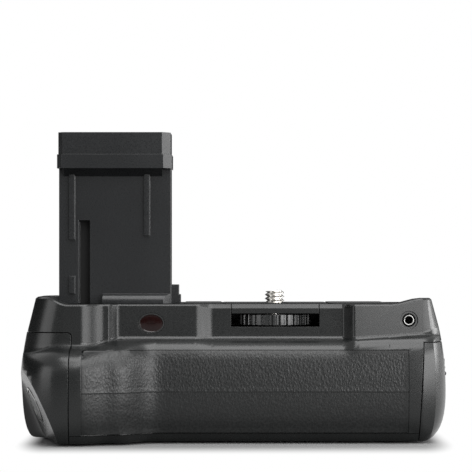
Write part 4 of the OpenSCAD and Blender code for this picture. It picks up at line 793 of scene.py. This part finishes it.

# %% [markdown]
# ## Floor, light and camera
# As in a plain product shot, the floor and the surround are white to the camera and in reflections.
# Under the object the floor is painted grey, a painted shadow under the lamps' own, and turns white a
# short way out.
# The light comes from five soft lamps, most of them at the right and above. They stand far enough
# aside that faces square to the camera stay dark, while any face that turns a few degrees to the
# right or upwards picks one up. Three black cards, which the camera doesn't see, keep the white of
# the surround off the front, the left and the top edges.

# %% Floor
bpy.ops.object.select_all(action="DESELECT")
bpy.ops.mesh.primitive_plane_add(size=6)
floor = bpy.context.object
floor.name = "floor"
paper, tree, shader = new_finish("studio_paper")
rays = add(tree, "ShaderNodeLightPath").outputs
seen = rays["Is Camera Ray"]
for kind in ("Is Glossy Ray", "Is Transmission Ray"):
    seen = add(tree, "ShaderNodeMath", {0: seen, 1: rays[kind]}, operation="MAXIMUM").outputs[0]
middle = (cad_box[0] + cad_box[1]) / 2
# The grey patch round the object is a painted shadow; it fades to white between fade_from and fade_to,
# to the camera and in reflections.
shadow_half = (58 * MM, 12 * MM, 0)
fade_stretch = (3.4, 1, 0)
fade_from, fade_to = 13 * MM, 41 * MM
zero = (0, 0, 0)
away = add(tree, "ShaderNodeTexCoord").outputs["Object"]
for operation, value in (("SUBTRACT", (middle.x, 0, 0)), ("ABSOLUTE", zero), ("SUBTRACT", shadow_half),
                         ("MAXIMUM", zero), ("MULTIPLY", fade_stretch)):
    away = add(tree, "ShaderNodeVectorMath", {0: away, 1: value}, operation=operation).outputs[0]
far = add(tree, "ShaderNodeVectorMath", {0: away}, operation="LENGTH")
painted_shadow_fade = add(tree, "ShaderNodeMapRange", {"Value": far.outputs["Value"], "From Min": fade_from,
           "From Max": fade_to}, interpolation_type="SMOOTHSTEP")
lift = add(tree, "ShaderNodeMath", {0: seen, 1: painted_shadow_fade.outputs["Result"]}, operation="MULTIPLY")
# Grey of the painted shadow under the object.
shader.inputs["Base Color"].default_value = colour("#646464")
shader.inputs["Roughness"].default_value = 0.9
white = add(tree, "ShaderNodeEmission", {"Color": (1, 1, 1, 1), "Strength": 1})
mix = add(tree, "ShaderNodeMixShader", {0: lift.outputs[0], 1: shader.outputs[0], 2: white.outputs[0]})
tree.links.new(mix.outputs[0], tree.nodes["Material Output"].inputs["Surface"])
floor.data.materials.append(paper)
print("floor:", paper.name)

# %% Surround
world = bpy.data.worlds.new("studio")
bpy.context.scene.world = world
world.use_nodes = True
tree = world.node_tree
rays = add(tree, "ShaderNodeLightPath").outputs
seen = rays["Is Camera Ray"]
for kind in ("Is Glossy Ray", "Is Transmission Ray"):
    seen = add(tree, "ShaderNodeMath", {0: seen, 1: rays[kind]}, operation="MAXIMUM").outputs[0]
light_level, white_level = 0.22, 1.0
level = add(tree, "ShaderNodeMapRange", {"Value": seen, "To Min": light_level, "To Max": white_level})
tree.links.new(level.outputs["Result"], tree.nodes["Background"].inputs["Strength"])
tree.nodes["Background"].inputs["Color"].default_value = (1, 1, 1, 1)
print("surround:", world.name)

# %% Lamps
aim = Vector((0, 0, 30 * MM))


def softbox(name, place, size, power):
    lamp = bpy.data.lights.new(name, "AREA")
    lamp.shape = "RECTANGLE"
    lamp.size, lamp.size_y = size
    lamp.energy = power
    obj = bpy.data.objects.new(name, lamp)
    bpy.context.scene.collection.objects.link(obj)
    obj.location = place
    obj.rotation_euler = (aim - Vector(place)).to_track_quat("-Z", "Y").to_euler()
    print(name, "watts:", power)


softbox("key", (0.28, -0.82, 0.8), (1.0, 0.48), 12)
softbox("side", (0.7, -0.85, 0.21), (1.05, 0.4), 14.5)
softbox("right", (1.05, 0.22, 0.3), (0.8, 0.5), 11)
softbox("top", (0.12, -0.27, 0.96), (0.8, 0.62), 11)
softbox("fill", (-0.95, -0.5, 0.25), (0.7, 0.5), 3)


# %% Black cards
def flag(name, place, size, turn):
    bpy.ops.object.select_all(action="DESELECT")
    bpy.ops.mesh.primitive_plane_add(size=1, location=place, rotation=turn)
    card = bpy.context.object
    card.name = name
    card.scale = (size[0], size[1], 1)
    settle(card)
    card.visible_camera = False
    card.data.materials.append(black_cloth)


black_cloth, tree, shader = new_finish("black_cloth")
shader.inputs["Base Color"].default_value = colour("#2c2c2c")
shader.inputs["Roughness"].default_value = 1
shader.inputs["Specular IOR Level"].default_value = 0
upright = math.radians(90)
flag("front_flag", (-0.4, -1.05, 0.09), (1.1, 0.2), (upright, 0, 0))
flag("left_flag", (-0.95, 0.45, 0.3), (0.9, 0.6), (upright, 0, upright))
flag("back_flag", (-0.2, 0.9, 0.27), (1.7, 0.5), (upright, 0, 0))
print("cards of:", black_cloth.name)

# %% Camera
scene = bpy.context.scene
scene.view_settings.view_transform = "Standard"
image_px, horizon_px = 472, 28.5
camera = bpy.data.cameras.new("camera")
camera.lens = 144.6
camera.sensor_width = 36
viewer = bpy.data.objects.new("camera", camera)
scene.collection.objects.link(viewer)
viewer.location = (-0.0126, -0.620, 0.057)
camera.shift_y = horizon_px / image_px
viewer.rotation_euler = (math.radians(90), 0, 0)
scene.camera = viewer
print("camera lens:", camera.lens)

# %% [markdown]
# ## Finish
# The rest of the solids sit inside the body and the tower, where their own shape is enough, so they
# stay and take a finish.

# %% Finishes of the solids that stay
kept = {
    abs_inner: ("wheel_bracket", "receiver_sensor", "remote_socket", "battery_chamber", "shutter_switch",
                "power_switch"),
    gilt: ("tower_contacts", "chamber_contacts", "drawer_contacts"),
    black_steel: ("cap_screws", "bracket_screws", "tower_screws", "drawer_screws", "latch_retainer",
                  "latch_screws"),
    steel: ("shutter_spring", "screw_clip"),
    board_mask: ("main_board",),
    film: ("tower_flex",)}
for finish, names in kept.items():
    for name in names:
        nodes[name].data.materials.clear()
        nodes[name].data.materials.append(finish)
print("kept solids:", sum(len(names) for names in kept.values()))
